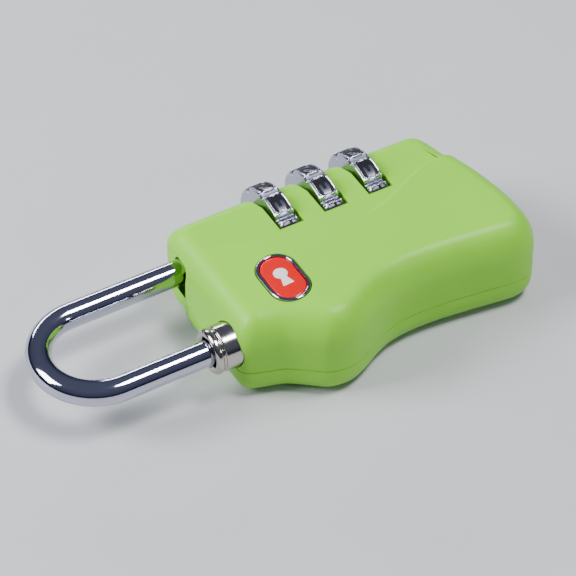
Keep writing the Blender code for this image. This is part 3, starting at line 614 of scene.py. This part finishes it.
def plated(name, colour, roughness, smudge, scratches=0.0015, stretch=(0.15, 1, 1)):
    """Polished plating over metal: smudges of handling and hairline polish marks."""
    finish = Finish(name, colour, roughness, 1.0)
    haze = finish.noise(0.35, 3.0)
    lines = finish.brushed(14.0, stretch)
    finish.set("Base Color", finish.mix(haze, shade(colour, 0.96), shade(colour, 1.03)))
    finish.set("Roughness", roughness + smudge * haze ** 2.0)
    finish.bump(lines, scratches, 0.08)
    return finish.material


def bare_metal(name, colour, roughness, grain_per_mm, depth):
    """Unplated metal inside the lock: mottled colour and a cast or drawn skin."""
    finish = Finish(name, colour, roughness, 1.0)
    mottle = finish.noise(0.9, 4.0)
    grain = finish.noise(grain_per_mm, 3.0)
    finish.set("Base Color", finish.mix(mottle, shade(colour, 0.82), shade(colour, 1.12)))
    finish.set("Roughness", roughness - 0.08 + 0.2 * grain)
    finish.bump(grain, depth)
    return finish.material


def enamel(name, colour, roughness, dust):
    """Fired or painted enamel with a clear glossy coat and specks of dust."""
    finish = Finish(name, colour, roughness, Specular_IOR_Level=0.35, Coat_Weight=0.25,
                    Coat_Roughness=0.08)
    specks = finish.noise(3.0, 4.0)
    finish.set("Base Color", finish.mix(specks, shade(colour, 0.9), shade(colour, 1.0 + dust)))
    finish.set("Roughness", roughness + 0.1 * specks)
    finish.bump(finish.noise(1.6, 1.0), 0.004)
    return finish.material


def paint(name, colour, roughness):
    """Matt paint rubbed into a recess, with faint brush unevenness."""
    finish = Finish(name, colour, roughness, Specular_IOR_Level=0.25)
    uneven = finish.noise(4.0, 3.0)
    finish.set("Base Color", finish.mix(uneven, colour, shade(colour, 2.5)))
    finish.set("Roughness", roughness - 0.1 + 0.2 * uneven)
    finish.bump(uneven, 0.006)
    return finish.material


def finishes():
    """Every finish by its material slot, made once."""
    look = bpy.context.scene.padlock_look
    makers = {
        "green_abs": ("lime satin plastic", lambda name: lime_plastic(look)),
        # the chrome colour is the plating's grey, darkened and tinted blue as a painted reflection of
        # a dark bluish room
        "chrome": ("polished chrome", lambda name: plated(name, look.chrome_colour_and_painted_reflection,
                                                          look.chrome_roughness, 0.10)),
        # the dial colour is the plating's grey, darkened and tinted lavender as a painted reflection
        # of a dark bluish room
        "dial_chrome": ("satin dial chrome", lambda name: plated(name, look.dial_colour_and_painted_reflection, 0.19,
                                                                 0.10, 0.003, (1, 0.2, 0.2))),
        "nickel": ("warm nickel", lambda name: plated(name, look.nickel_colour, 0.10, 0.16)),
        "zinc": ("die-cast zinc", lambda name: bare_metal(name, (0.42, 0.43, 0.45), 0.48, 6.0, 0.01)),
        "spring_steel": ("spring steel", lambda name: bare_metal(name, (0.5, 0.51, 0.54), 0.3, 9.0,
                                                                 0.003)),
        "brass": ("machined brass", lambda name: bare_metal(name, (0.72, 0.52, 0.22), 0.3, 8.0,
                                                            0.004)),
        "red_enamel": ("red enamel", lambda name: enamel(name, look.enamel_colour, 0.2, 0.08)),
        "white_enamel": ("white enamel", lambda name: enamel(name, (0.86, 0.86, 0.85), 0.25, 0.02)),
        "black_enamel": ("black fill", lambda name: paint(name, (0.004, 0.004, 0.006), 0.55)),
    }
    return {slot: bpy.data.materials.get(name) or make(name)
            for slot, (name, make) in makers.items()}


# --- pieces -------------------------------------------------------------------------------
def build_covers():
    green = finishes()["green_abs"]
    front = add_mesh("front_cover_moulding", cover_shape(True), [green], "lock_body")
    badge_seat = cutter("badge_seat", loft([[(x, y, z) for x, y in capsule(0.12)]
                                            for z in (-1.15, 2)]), (BADGE_X, BADGE_Y, BADGE_Z))
    badge_seat.rotation_euler = (0, -BADGE_TILT, 0)
    carve(front, shared_cuts() + scoop_cuts() + [badge_seat])
    back = add_mesh("back_cover_moulding", cover_shape(False), [green], "lock_body")
    carve(back, shared_cuts() + screw_cuts())
    for piece, node in ((front, "front_cover"), (back, "back_cover")):
        piece.data.shade_smooth()
        piece.data.set_sharp_from_angle(angle=math.radians(38))
        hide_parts(node)


def capsule(grow, steps=40):
    """A slot shape that is long in Y, grown outwards."""
    radius = BADGE_SIZE[0] / 2 + grow
    straight = (BADGE_SIZE[1] - BADGE_SIZE[0]) / 2
    points = []
    for end, centre in ((0, straight), (1, -straight)):
        for step in range(steps + 1):
            angle = math.pi * (end + step / steps)
            points.append((radius * math.cos(angle), centre + radius * math.sin(angle)))
    return points


def upright(shape):
    """Stand a shape that was turned about X on its end, along +Z."""
    bmesh.ops.rotate(shape, matrix=Matrix.Rotation(-math.pi / 2, 3, "Y"), verts=shape.verts)
    return shape


def screw_cuts():
    cuts = []
    for number, (x, y) in enumerate(SCREW_PLACES, start=1):
        hole = turned([(-1, 0), (-1, 1.95), (0.08, 1.8), (0.85, 1.8), (0.85, 0.95), (3, 0.95),
                       (3, 0)], 48)
        cuts.append(cutter(f"screw_hole_{number}", upright(hole), (x, y, 0)))
    return cuts


def build_badge():
    colours = finishes()
    rim_profile = [(0.0, -0.85), (0.0, 0.02), (-0.05, 0.14), (-0.13, 0.21), (-0.22, 0.24),
                   (-0.34, 0.24), (-0.43, 0.2), (-0.48, 0.12), (-0.5, -0.05), (-0.5, -0.45),
                   (-2.0, -0.45), (-2.0, -0.85)]
    rim = add_mesh("badge_silver_rim",
                   loft([[(x, y, z) for x, y in capsule(grow)] for grow, z in rim_profile], True),
                   [colours["chrome"]], None, (BADGE_X, BADGE_Y, BADGE_Z))
    inlay_profile = [(-0.56, -0.2), (-0.56, 0.02), (-0.62, 0.1), (-0.75, 0.14), (-1.1, 0.17),
                     (-1.8, 0.19)]
    inlay = add_mesh("badge_red_enamel",
                     loft([[(x, y, z) for x, y in capsule(grow)] for grow, z in inlay_profile]),
                     [colours["red_enamel"]], None, (BADGE_X, BADGE_Y, BADGE_Z))
    keyhole = add_mesh("badge_white_keyhole", keyhole_shape(), [colours["white_enamel"]], None,
                       (BADGE_X, BADGE_Y, BADGE_Z))
    for piece, slot in ((rim, "chrome"), (inlay, "red_enamel"), (keyhole, None)):
        piece.rotation_euler = (0, -BADGE_TILT, 0)
        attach(piece, "lock_body")
    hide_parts("badge_rim")
    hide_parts("badge_inlay")


def keyhole_shape():
    """A raised keyhole mark: a round head over a flared stem, along -Y."""
    head, neck, foot, length = 0.95, 0.42, 0.8, 2.2
    outline = []
    start = math.asin(neck / head)
    for step in range(49):
        angle = -math.pi / 2 + start + (math.tau - 2 * start) * step / 48
        outline.append((head * math.cos(angle), 0.7 + head * math.sin(angle)))
    outline += [(-foot, 0.7 - length), (foot, 0.7 - length)]
    centre = Vector((0, 0.1))
    rings = []
    for grow, z in ((1.0, 0.05), (1.0, 0.21), (0.96, 0.25), (0.9, 0.27)):
        rings.append([(*(centre + (Vector(p) - centre) * grow), z) for p in outline])
    return loft(rings)


def rod_stations():
    """(centre, direction, radius) along the shackle, from the short leg to the long leg."""
    stations = []
    for x, radius in ((SHORT_LEG_TIP_X, 0.2), (SHORT_LEG_TIP_X, 0.95), (SHORT_LEG_TIP_X - 0.12, 1.25),
                      (SHORT_LEG_TIP_X - 0.35, 1.55), (SHORT_LEG_TIP_X - 0.8, ROD_RADIUS),
                      (-25.0, ROD_RADIUS), (-30.0, ROD_RADIUS), (-34.0, ROD_RADIUS)):
        stations.append((Vector((x, -LEG_Y, 0)), Vector((-1, 0, 0)), radius))
    steps = 72
    for step in range(steps + 1):
        angle = math.pi * step / steps
        outward = Vector((-math.sin(angle), -math.cos(angle), 0))
        along = Vector((-math.cos(angle), math.sin(angle), 0))
        stations.append((Vector((BEND_X, 0, 0)) + outward * LEG_Y, along, ROD_RADIUS))
    for x, radius in ((-34.0, ROD_RADIUS), (-25.0, ROD_RADIUS), (-14.35, ROD_RADIUS),
                      (-14.3, 1.35), (-13.0, 1.35), (-12.95, ROD_RADIUS),
                      (LONG_LEG_TIP_X - 0.5, ROD_RADIUS), (LONG_LEG_TIP_X - 0.15, 1.5),
                      (LONG_LEG_TIP_X, 1.1), (LONG_LEG_TIP_X, 0.2)):
        stations.append((Vector((x, LEG_Y, 0)), Vector((1, 0, 0)), radius))
    return stations


def build_shackle():
    sides = 72
    rings = []
    for centre, along, radius in rod_stations():
        across = Vector((-along.y, along.x, 0))
        rings.append([centre + across * radius * math.cos(math.tau * side / sides)
                      + Vector((0, 0, radius * math.sin(math.tau * side / sides)))
                      for side in range(sides)])
    shape = loft(rings)
    for x in DIAL_X:
        add_box(shape, (x - 0.6, x + 0.6), (LEG_Y - 2.15, LEG_Y - 1.2), (-0.5, 0.5))
    rod = add_mesh("shackle_rod", shape, [finishes()["chrome"]], "shackle_body", (0, 0, AXIS_Z))
    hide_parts("shackle")


def add_box(shape, x_range, y_range, z_range):
    """Put a closed box into a bmesh that is being built."""
    corners = [[shape.verts.new((x, y, z)) for y, z in
                ((y_range[0], z_range[0]), (y_range[1], z_range[0]),
                 (y_range[1], z_range[1]), (y_range[0], z_range[1]))] for x in x_range]
    first, second = corners
    shape.faces.new(first)
    shape.faces.new(second)
    for index in range(4):
        following = (index + 1) % 4
        shape.faces.new((first[index], first[following], second[following], second[index]))


def build_collar():
    front, radius = COLLAR_FRONT_X, COLLAR_RADIUS
    start, end, flange = COLLAR_FLANGE
    profile = [(front, COLLAR_BORE + 0.3), (front + 0.3, COLLAR_BORE), (end, COLLAR_BORE),
               (end, flange), (start, flange), (start, radius), (front + 1.4, radius),
               (front + 1.28, radius - 0.28), (front + 0.98, radius - 0.28),
               (front + 0.86, radius), (front + 0.32, radius), (front, radius - 0.34)]
    collar = add_mesh("nickel_collar", turned(rounded_profile(profile, 0.14), 120),
                      [finishes()["nickel"]], "collar_body", (0, -LEG_Y, AXIS_Z))
    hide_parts("shackle_collar")


# --- dials ----------------------------------------------------------------------------------
FIELD_HALF = (1.12, 1.52)     # number field: along X and round the dial
FIELD_CORNER = 0.55
FIELD_DEPTH = 0.13
NOTCH_HALF = 0.54             # half width of the grip notch round the dial


def field_distance(x, around):
    """Distance from the rounded number field's edge, negative inside."""
    side = abs(x) - (FIELD_HALF[0] - FIELD_CORNER)
    end = abs(around) - (FIELD_HALF[1] - FIELD_CORNER)
    outside = math.hypot(max(side, 0.0), max(end, 0.0))
    return outside + min(max(side, end), 0.0) - FIELD_CORNER


def dial_radius(x, around):
    """Height of the dial's surface over one number panel."""
    distance = field_distance(x, around)
    radius = DIAL_RADIUS - FIELD_DEPTH * (1 - ease(distance, -0.07, 0.02))
    radius -= 0.09 * ease(distance, 0.13, 0.2)
    half_pitch = math.pi * DIAL_RADIUS / DIAL_PANELS
    into_notch = NOTCH_HALF - (half_pitch - abs(around))
    if into_notch > 0:
        share = into_notch / NOTCH_HALF
        radius = DIAL_RADIUS - 0.09 - (DIAL_RADIUS - 0.09 - DIAL_NOTCH_RADIUS) * share
    into_edge = abs(x) - (DIAL_WIDTH / 2 - 0.22)
    if into_edge > 0:
        radius -= into_edge
    return radius


def dial_shape():
    """A dial as rings of points: outer surface, then the bore."""
    half = DIAL_WIDTH / 2
    half_pitch = math.pi * DIAL_RADIUS / DIAL_PANELS
    marks = [0, 0.3, 0.6, 0.85, 0.95, 1.03, 1.1, 1.18, 1.26, 1.33, 1.4, 1.45, 1.5, 1.56, 1.62,
             1.68, half_pitch - NOTCH_HALF, 1.74, 1.9, 2.06, 2.16]
    arounds = sorted(set([-m for m in marks] + marks)) + [half_pitch]
    columns = [0, 0.25, 0.5, 0.7, 0.82, 0.92, 1.0, 1.05, 1.1, 1.17, 1.22, half - 0.22, half - 0.1]
    xs = [-half] + sorted(set([-c for c in columns] + columns)) + [half]
    spots = [(panel * math.tau / DIAL_PANELS + around / DIAL_RADIUS, around)
             for panel in range(DIAL_PANELS) for around in arounds]
    rings = []
    for x in xs:
        rings.append([(x, dial_radius(x, around) * math.cos(angle),
                       dial_radius(x, around) * math.sin(angle)) for angle, around in spots])
    for x in (half, -half):
        rings.append([(x, DIAL_BORE * math.cos(angle), DIAL_BORE * math.sin(angle))
                      for angle, around in spots])
    return loft(rings, join_ends=True)


def digit_outline(text):
    """The filled outline of a bold numeral as a flat mesh, one unit high."""
    curve = bpy.data.curves.new("numeral", "FONT")
    curve.body = text
    curve.offset = 0.026
    curve.resolution_u = 6
    holder = bpy.data.objects.new("numeral", curve)
    bpy.context.scene.collection.objects.link(holder)
    bpy.context.view_layer.update()
    graph = bpy.context.evaluated_depsgraph_get()
    mesh = bpy.data.meshes.new_from_object(holder.evaluated_get(graph), depsgraph=graph)
    bpy.data.objects.remove(holder, do_unlink=True)
    return mesh


def add_digit(shape, text, middle, size, lift):
    """Wrap a numeral round the dial; its top points to the shackle."""
    flat = bmesh.new()
    flat.from_mesh(digit_outline(text))
    xs = [vert.co.x for vert in flat.verts]
    ys = [vert.co.y for vert in flat.verts]
    wide, high = max(xs) - min(xs), max(ys) - min(ys)
    width = size[0] * (0.62 if text == "1" else 1.0)
    for vert in flat.verts:
        vert.co.x = (vert.co.x - 0.5 * (max(xs) + min(xs))) / wide * width
        vert.co.y = (vert.co.y - 0.5 * (max(ys) + min(ys))) / high * size[1]
        vert.co.z = 0
    for cut in range(-6, 7):
        geometry = flat.verts[:] + flat.edges[:] + flat.faces[:]
        bmesh.ops.bisect_plane(flat, geom=geometry, plane_co=(cut * 0.2, 0, 0),
                               plane_no=(1, 0, 0))
    grown = bmesh.ops.extrude_face_region(flat, geom=flat.faces[:])
    for item in grown["geom"]:
        if isinstance(item, bmesh.types.BMVert):
            item.co.z = lift[1] - lift[0]
    base = DIAL_RADIUS - FIELD_DEPTH + lift[0]
    made = {}
    for vert in flat.verts:
        angle = middle - vert.co.x / DIAL_RADIUS
        radius = base + vert.co.z
        made[vert] = shape.verts.new((-vert.co.y, radius * math.cos(angle),
                                      radius * math.sin(angle)))
    for face in flat.faces:
        shape.faces.new([made[vert] for vert in face.verts])
    flat.free()


def build_dials():
    colours = finishes()
    look = bpy.context.scene.padlock_look
    for number, x in enumerate(DIAL_X, start=1):
        place = (x, LEG_Y, AXIS_Z)
        body = f"dial_body_{number}"
        wheel = add_mesh(f"dial_{number}_wheel", dial_shape(), [colours["dial_chrome"]], body, place,
                         DIAL_REST_ANGLE, sharp=24)
        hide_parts(f"dial_{number}")
        numerals = bmesh.new()
        for panel in range(DIAL_PANELS):
            add_digit(numerals, str((panel + 1) % DIAL_PANELS), panel * math.tau / DIAL_PANELS,
                      (look.digit_width, look.digit_height), (-0.02, 0.05))
        add_mesh(f"dial_{number}_numerals", numerals, [colours["black_enamel"]], body, place,
                 DIAL_REST_ANGLE)


def build_key_end():
    colours = finishes()
    on_key = (0, -LEG_Y, AXIS_Z)
    start, end = HOUSING_X
    bore = PLUG_RADIUS + 0.2
    ring = add_mesh("key_end_ring",
                    turned(rounded_profile([(start, bore), (end, bore), (end, HOUSING_RADIUS),
                                            (start, HOUSING_RADIUS)], 0.18), 120),
                    [colours["brass"]], "lock_body", on_key)
    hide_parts("key_housing")
    face = [(7.7, 0), (7.7, 3.3), (7.85, 3.3), (7.85, 3.0), (8.55, 3.0), (8.55, PLUG_RADIUS),
            (KEY_FACE_X, PLUG_RADIUS), (KEY_FACE_X - 0.25, PLUG_RADIUS - 0.9),
            (KEY_FACE_X - 0.25, 0)]
    plug = add_mesh("key_plug_face", turned(rounded_profile(face, 0.12), 120),
                    [colours["nickel"]], "key_body", on_key)
    carve(plug, [cutter("keyway", block((9.3, KEY_FACE_X + 1), (-0.56, 0.56), (-2.4, 2.0)), on_key),
                 cutter("keyway_ward", block((9.3, KEY_FACE_X + 1), (0, 0.95), (-0.6, 0.15)),
                        on_key)])
    plug.data.set_sharp_from_angle(angle=math.radians(38))
    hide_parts("key_plug")


def build_screws():
    steel = finishes()["spring_steel"]
    for number, (x, y) in enumerate(SCREW_PLACES, start=1):
        profile = [(0.12, 0), (0.12, 1.2), (0.28, 1.45), (0.55, 1.45), (0.55, 0.6), (6.6, 0.6),
                   (7.0, 0.3), (7.0, 0)]
        screw = add_mesh(f"back_screw_{number}", upright(turned(rounded_profile(profile, 0.07), 64)),
                         [steel], "lock_body", (x, y, 0))
        arms = [cutter("drive_a", block((-0.95, 0.95), (-0.17, 0.17), (-0.5, 0.42)), (x, y, 0)),
                cutter("drive_b", block((-0.17, 0.17), (-0.95, 0.95), (-0.5, 0.42)), (x, y, 0))]
        carve(screw, arms)
        screw.data.set_sharp_from_angle(angle=math.radians(38))
        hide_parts(f"cover_screw_{number}")


def finish_mechanism():
    """Give every CAD node that is still shown the finish of its slot."""
    colours = finishes()
    slots = {part["node"]: part["material_slot"] for part in frame["record"]["subparts"]}
    for name, node in frame["nodes"].items():
        node.data.materials.clear()
        node.data.materials.append(colours[slots[name]])


# --- stage ------------------------------------------------------------------------------------
VIEW_TARGET = (-9.65, -2.3, 7.2)
VIEW_AZIMUTH = math.radians(-30)
VIEW_ELEVATION = math.radians(44.5)
VIEW_DISTANCE = 450.0
LENS = 214.6


def add_camera():
    around, up = VIEW_AZIMUTH, VIEW_ELEVATION
    right = Vector((math.cos(around), math.sin(around), 0))
    level = Vector((-math.sin(around), math.cos(around), 0))
    look = level * math.cos(up) - Vector((0, 0, math.sin(up)))
    above = right.cross(look)
    data = bpy.data.cameras.new("studio camera")
    data.lens = LENS
    data.clip_start = 0.01
    camera = bpy.data.objects.new("studio camera", data)
    turn = Matrix((right, above, -look)).transposed().to_4x4()
    camera.matrix_world = Matrix.Translation((Vector(VIEW_TARGET) - look * VIEW_DISTANCE) * MM) @ turn
    bpy.context.scene.collection.objects.link(camera)
    bpy.context.scene.camera = camera


def add_softbox(name, direction, distance, size, power, colour):
    data = bpy.data.lights.new(name, "AREA")
    data.shape = "RECTANGLE"
    data.size, data.size_y = size
    data.energy = power
    data.color = colour
    light = bpy.data.objects.new(name, data)
    aim = Vector(direction).normalized()
    light.location = aim * distance
    light.rotation_euler = aim.to_track_quat("Z", "Y").to_euler()
    bpy.context.scene.collection.objects.link(light)


def add_room(look):
    world = bpy.data.worlds.new("studio room")
    world.use_nodes = True
    tree = world.node_tree
    background = tree.nodes["Background"]
    coordinates = tree.nodes.new("ShaderNodeTexCoord")
    split = tree.nodes.new("ShaderNodeSeparateXYZ")
    ramp = tree.nodes.new("ShaderNodeValToRGB")
    stops = ((0.0, (0.03, 0.03, 0.05)), (0.12, (0.02, 0.02, 0.04)), (0.35, (0.09, 0.10, 0.16)),
             (0.8, (0.14, 0.15, 0.22)))
    while len(ramp.color_ramp.elements) < len(stops):
        ramp.color_ramp.elements.new(0.5)
    for element, (place, colour) in zip(ramp.color_ramp.elements, stops):
        element.position = place
        element.color = (*colour, 1.0)
    tree.links.new(coordinates.outputs["Generated"], split.inputs[0])
    tree.links.new(split.outputs["Z"], ramp.inputs["Fac"])
    tree.links.new(ramp.outputs["Color"], background.inputs["Color"])
    background.inputs["Strength"].default_value = look.room_light
    bpy.context.scene.world = world


def add_floor():
    finish = Finish("pale floor", (0.56, 0.56, 0.59), 0.7)
    speckle = finish.noise(0.05, 3.0)
    finish.set("Base Color", finish.mix(speckle, (0.54, 0.54, 0.57), (0.58, 0.58, 0.61)))
    shape = bmesh.new()
    reach = 900
    corners = [shape.verts.new((x * reach, y * reach, 0)) for x, y in
               ((-1, -1), (1, -1), (1, 1), (-1, 1))]
    shape.faces.new(corners)
    floor = add_mesh("floor", shape, [finish.material], None)


# --- add-on: settings, operators and panel -------------------------------------------------------
class PadlockLook(bpy.types.PropertyGroup):
    """Colours and finish sizes of the padlock."""

    body_colour: FloatVectorProperty(name="Body colour", description="Plastic of both covers",
                                     subtype="COLOR", size=3, min=0, max=1,
                                     default=(0.25, 0.68, 0.03))
    body_roughness: FloatProperty(name="Body roughness", description="Satin of the plastic",
                                  default=0.40, min=0, max=1)
    grain_depth: FloatProperty(name="Grain depth", description="Moulded grain, in millimetres",
                               default=0.012, min=0, max=0.1)
    # the plating's grey, darkened and tinted blue as a painted reflection of a dark bluish room
    chrome_colour_and_painted_reflection: FloatVectorProperty(name="Chrome colour", description="Shackle and dials",
                                       subtype="COLOR", size=3, min=0, max=1,
                                       default=(0.50, 0.51, 0.60))
    chrome_roughness: FloatProperty(name="Chrome roughness", description="Polish of the chrome",
                                    default=0.05, min=0, max=1)
    # the dial plating's grey, darkened and tinted lavender as a painted reflection of a dark bluish
    # room
    dial_colour_and_painted_reflection: FloatVectorProperty(name="Dial colour", description="Plating of the dials",
                                     subtype="COLOR", size=3, min=0, max=1,
                                     default=(0.42, 0.43, 0.53))
    nickel_colour: FloatVectorProperty(name="Collar colour", description="Plating of the collar",
                                       subtype="COLOR", size=3, min=0, max=1,
                                       default=(0.50, 0.47, 0.43))
    enamel_colour: FloatVectorProperty(name="Badge colour", description="Enamel of the badge",
                                       subtype="COLOR", size=3, min=0, max=1,
                                       default=(0.66, 0.006, 0.005))
    digit_width: FloatProperty(name="Numeral width", description="Round the dial, in millimetres",
                               default=2.95, min=1, max=3)
    digit_height: FloatProperty(name="Numeral height", description="Along the lock, in millimetres",
                                default=2.16, min=1, max=2.2)
    room_light: FloatProperty(name="Room light", description="Strength of the light all round",
                              default=0.9, min=0, max=5)


def build_stage():
    look = bpy.context.scene.padlock_look
    add_floor()
    add_room(look)
    add_softbox("overhead softbox", (0.25, -0.22, 0.94), 0.5, (0.16, 0.12), 2.3, (1.0, 1.0, 0.98))
    add_softbox("edge light", (0.45, -0.77, 0.46), 0.6, (0.08, 0.05), 0.35, (1.0, 1.0, 1.0))
    add_softbox("left softbox", (-0.80, 0.35, 0.62), 0.55, (0.26, 0.26), 4.2, (0.98, 0.99, 1.0))
    add_softbox("back strip", (0.1, 1.0, 0.35), 0.6, (0.3, 0.06), 1.0, (0.95, 0.96, 1.0))
    add_camera()


class PADLOCK_OT_build_covers(bpy.types.Operator):
    """Build the two moulded covers, with their slots, scoops and holes."""

    bl_idname = "padlock.build_covers"
    bl_label = "Covers"

    def execute(self, context):
        build_covers()
        return {"FINISHED"}


class PADLOCK_OT_build_badge(bpy.types.Operator):
    """Build the silver rim, its enamel and the keyhole mark."""

    bl_idname = "padlock.build_badge"
    bl_label = "Badge"

    def execute(self, context):
        build_badge()
        return {"FINISHED"}


class PADLOCK_OT_build_shackle(bpy.types.Operator):
    """Build the bent shackle rod with its clip groove and fins."""

    bl_idname = "padlock.build_shackle"
    bl_label = "Shackle"

    def execute(self, context):
        build_shackle()
        return {"FINISHED"}


class PADLOCK_OT_build_collar(bpy.types.Operator):
    """Build the grooved collar round the short leg."""

    bl_idname = "padlock.build_collar"
    bl_label = "Collar"

    def execute(self, context):
        build_collar()
        return {"FINISHED"}


class PADLOCK_OT_build_dials(bpy.types.Operator):
    """Build the three numbered dials."""

    bl_idname = "padlock.build_dials"
    bl_label = "Dials"

    def execute(self, context):
        build_dials()
        return {"FINISHED"}


class PADLOCK_OT_build_key_end(bpy.types.Operator):
    """Build the ring and the plug face of the key cylinder."""

    bl_idname = "padlock.build_key_end"
    bl_label = "Key end"

    def execute(self, context):
        build_key_end()
        return {"FINISHED"}


class PADLOCK_OT_build_screws(bpy.types.Operator):
    """Build the three screws in the back."""

    bl_idname = "padlock.build_screws"
    bl_label = "Back screws"

    def execute(self, context):
        build_screws()
        return {"FINISHED"}


class PADLOCK_OT_finish_mechanism(bpy.types.Operator):
    """Give the working parts inside their finishes."""

    bl_idname = "padlock.finish_mechanism"
    bl_label = "Mechanism finishes"

    def execute(self, context):
        finish_mechanism()
        return {"FINISHED"}


class PADLOCK_OT_build_stage(bpy.types.Operator):
    """Set up the floor, the soft lights and the camera."""

    bl_idname = "padlock.build_stage"
    bl_label = "Stage"

    def execute(self, context):
        build_stage()
        return {"FINISHED"}


OPERATORS = (PADLOCK_OT_build_covers, PADLOCK_OT_build_badge, PADLOCK_OT_build_shackle,
             PADLOCK_OT_build_collar, PADLOCK_OT_build_dials, PADLOCK_OT_build_key_end,
             PADLOCK_OT_build_screws, PADLOCK_OT_finish_mechanism, PADLOCK_OT_build_stage)


class PADLOCK_PT_sidebar(bpy.types.Panel):
    """Sidebar panel with the padlock's settings and its building steps."""

    bl_idname = "PADLOCK_PT_sidebar"
    bl_label = "Padlock"
    bl_space_type = "VIEW_3D"
    bl_region_type = "UI"
    bl_category = "Padlock"

    def draw(self, context):
        look = context.scene.padlock_look
        for name in PadlockLook.__annotations__:
            self.layout.prop(look, name)
        for operator in OPERATORS:
            self.layout.operator(operator.bl_idname)


CLASSES = (PadlockLook, *OPERATORS, PADLOCK_PT_sidebar)


def register():
    for each in CLASSES:
        bpy.utils.register_class(each)
    bpy.types.Scene.padlock_look = PointerProperty(type=PadlockLook)


def unregister():
    del bpy.types.Scene.padlock_look
    for each in reversed(CLASSES):
        bpy.utils.unregister_class(each)


def main():
    register()
    for operator in OPERATORS:
        group, name = operator.bl_idname.split(".")
        getattr(getattr(bpy.ops, group), name)()


if __name__ == "__main__":
    main()
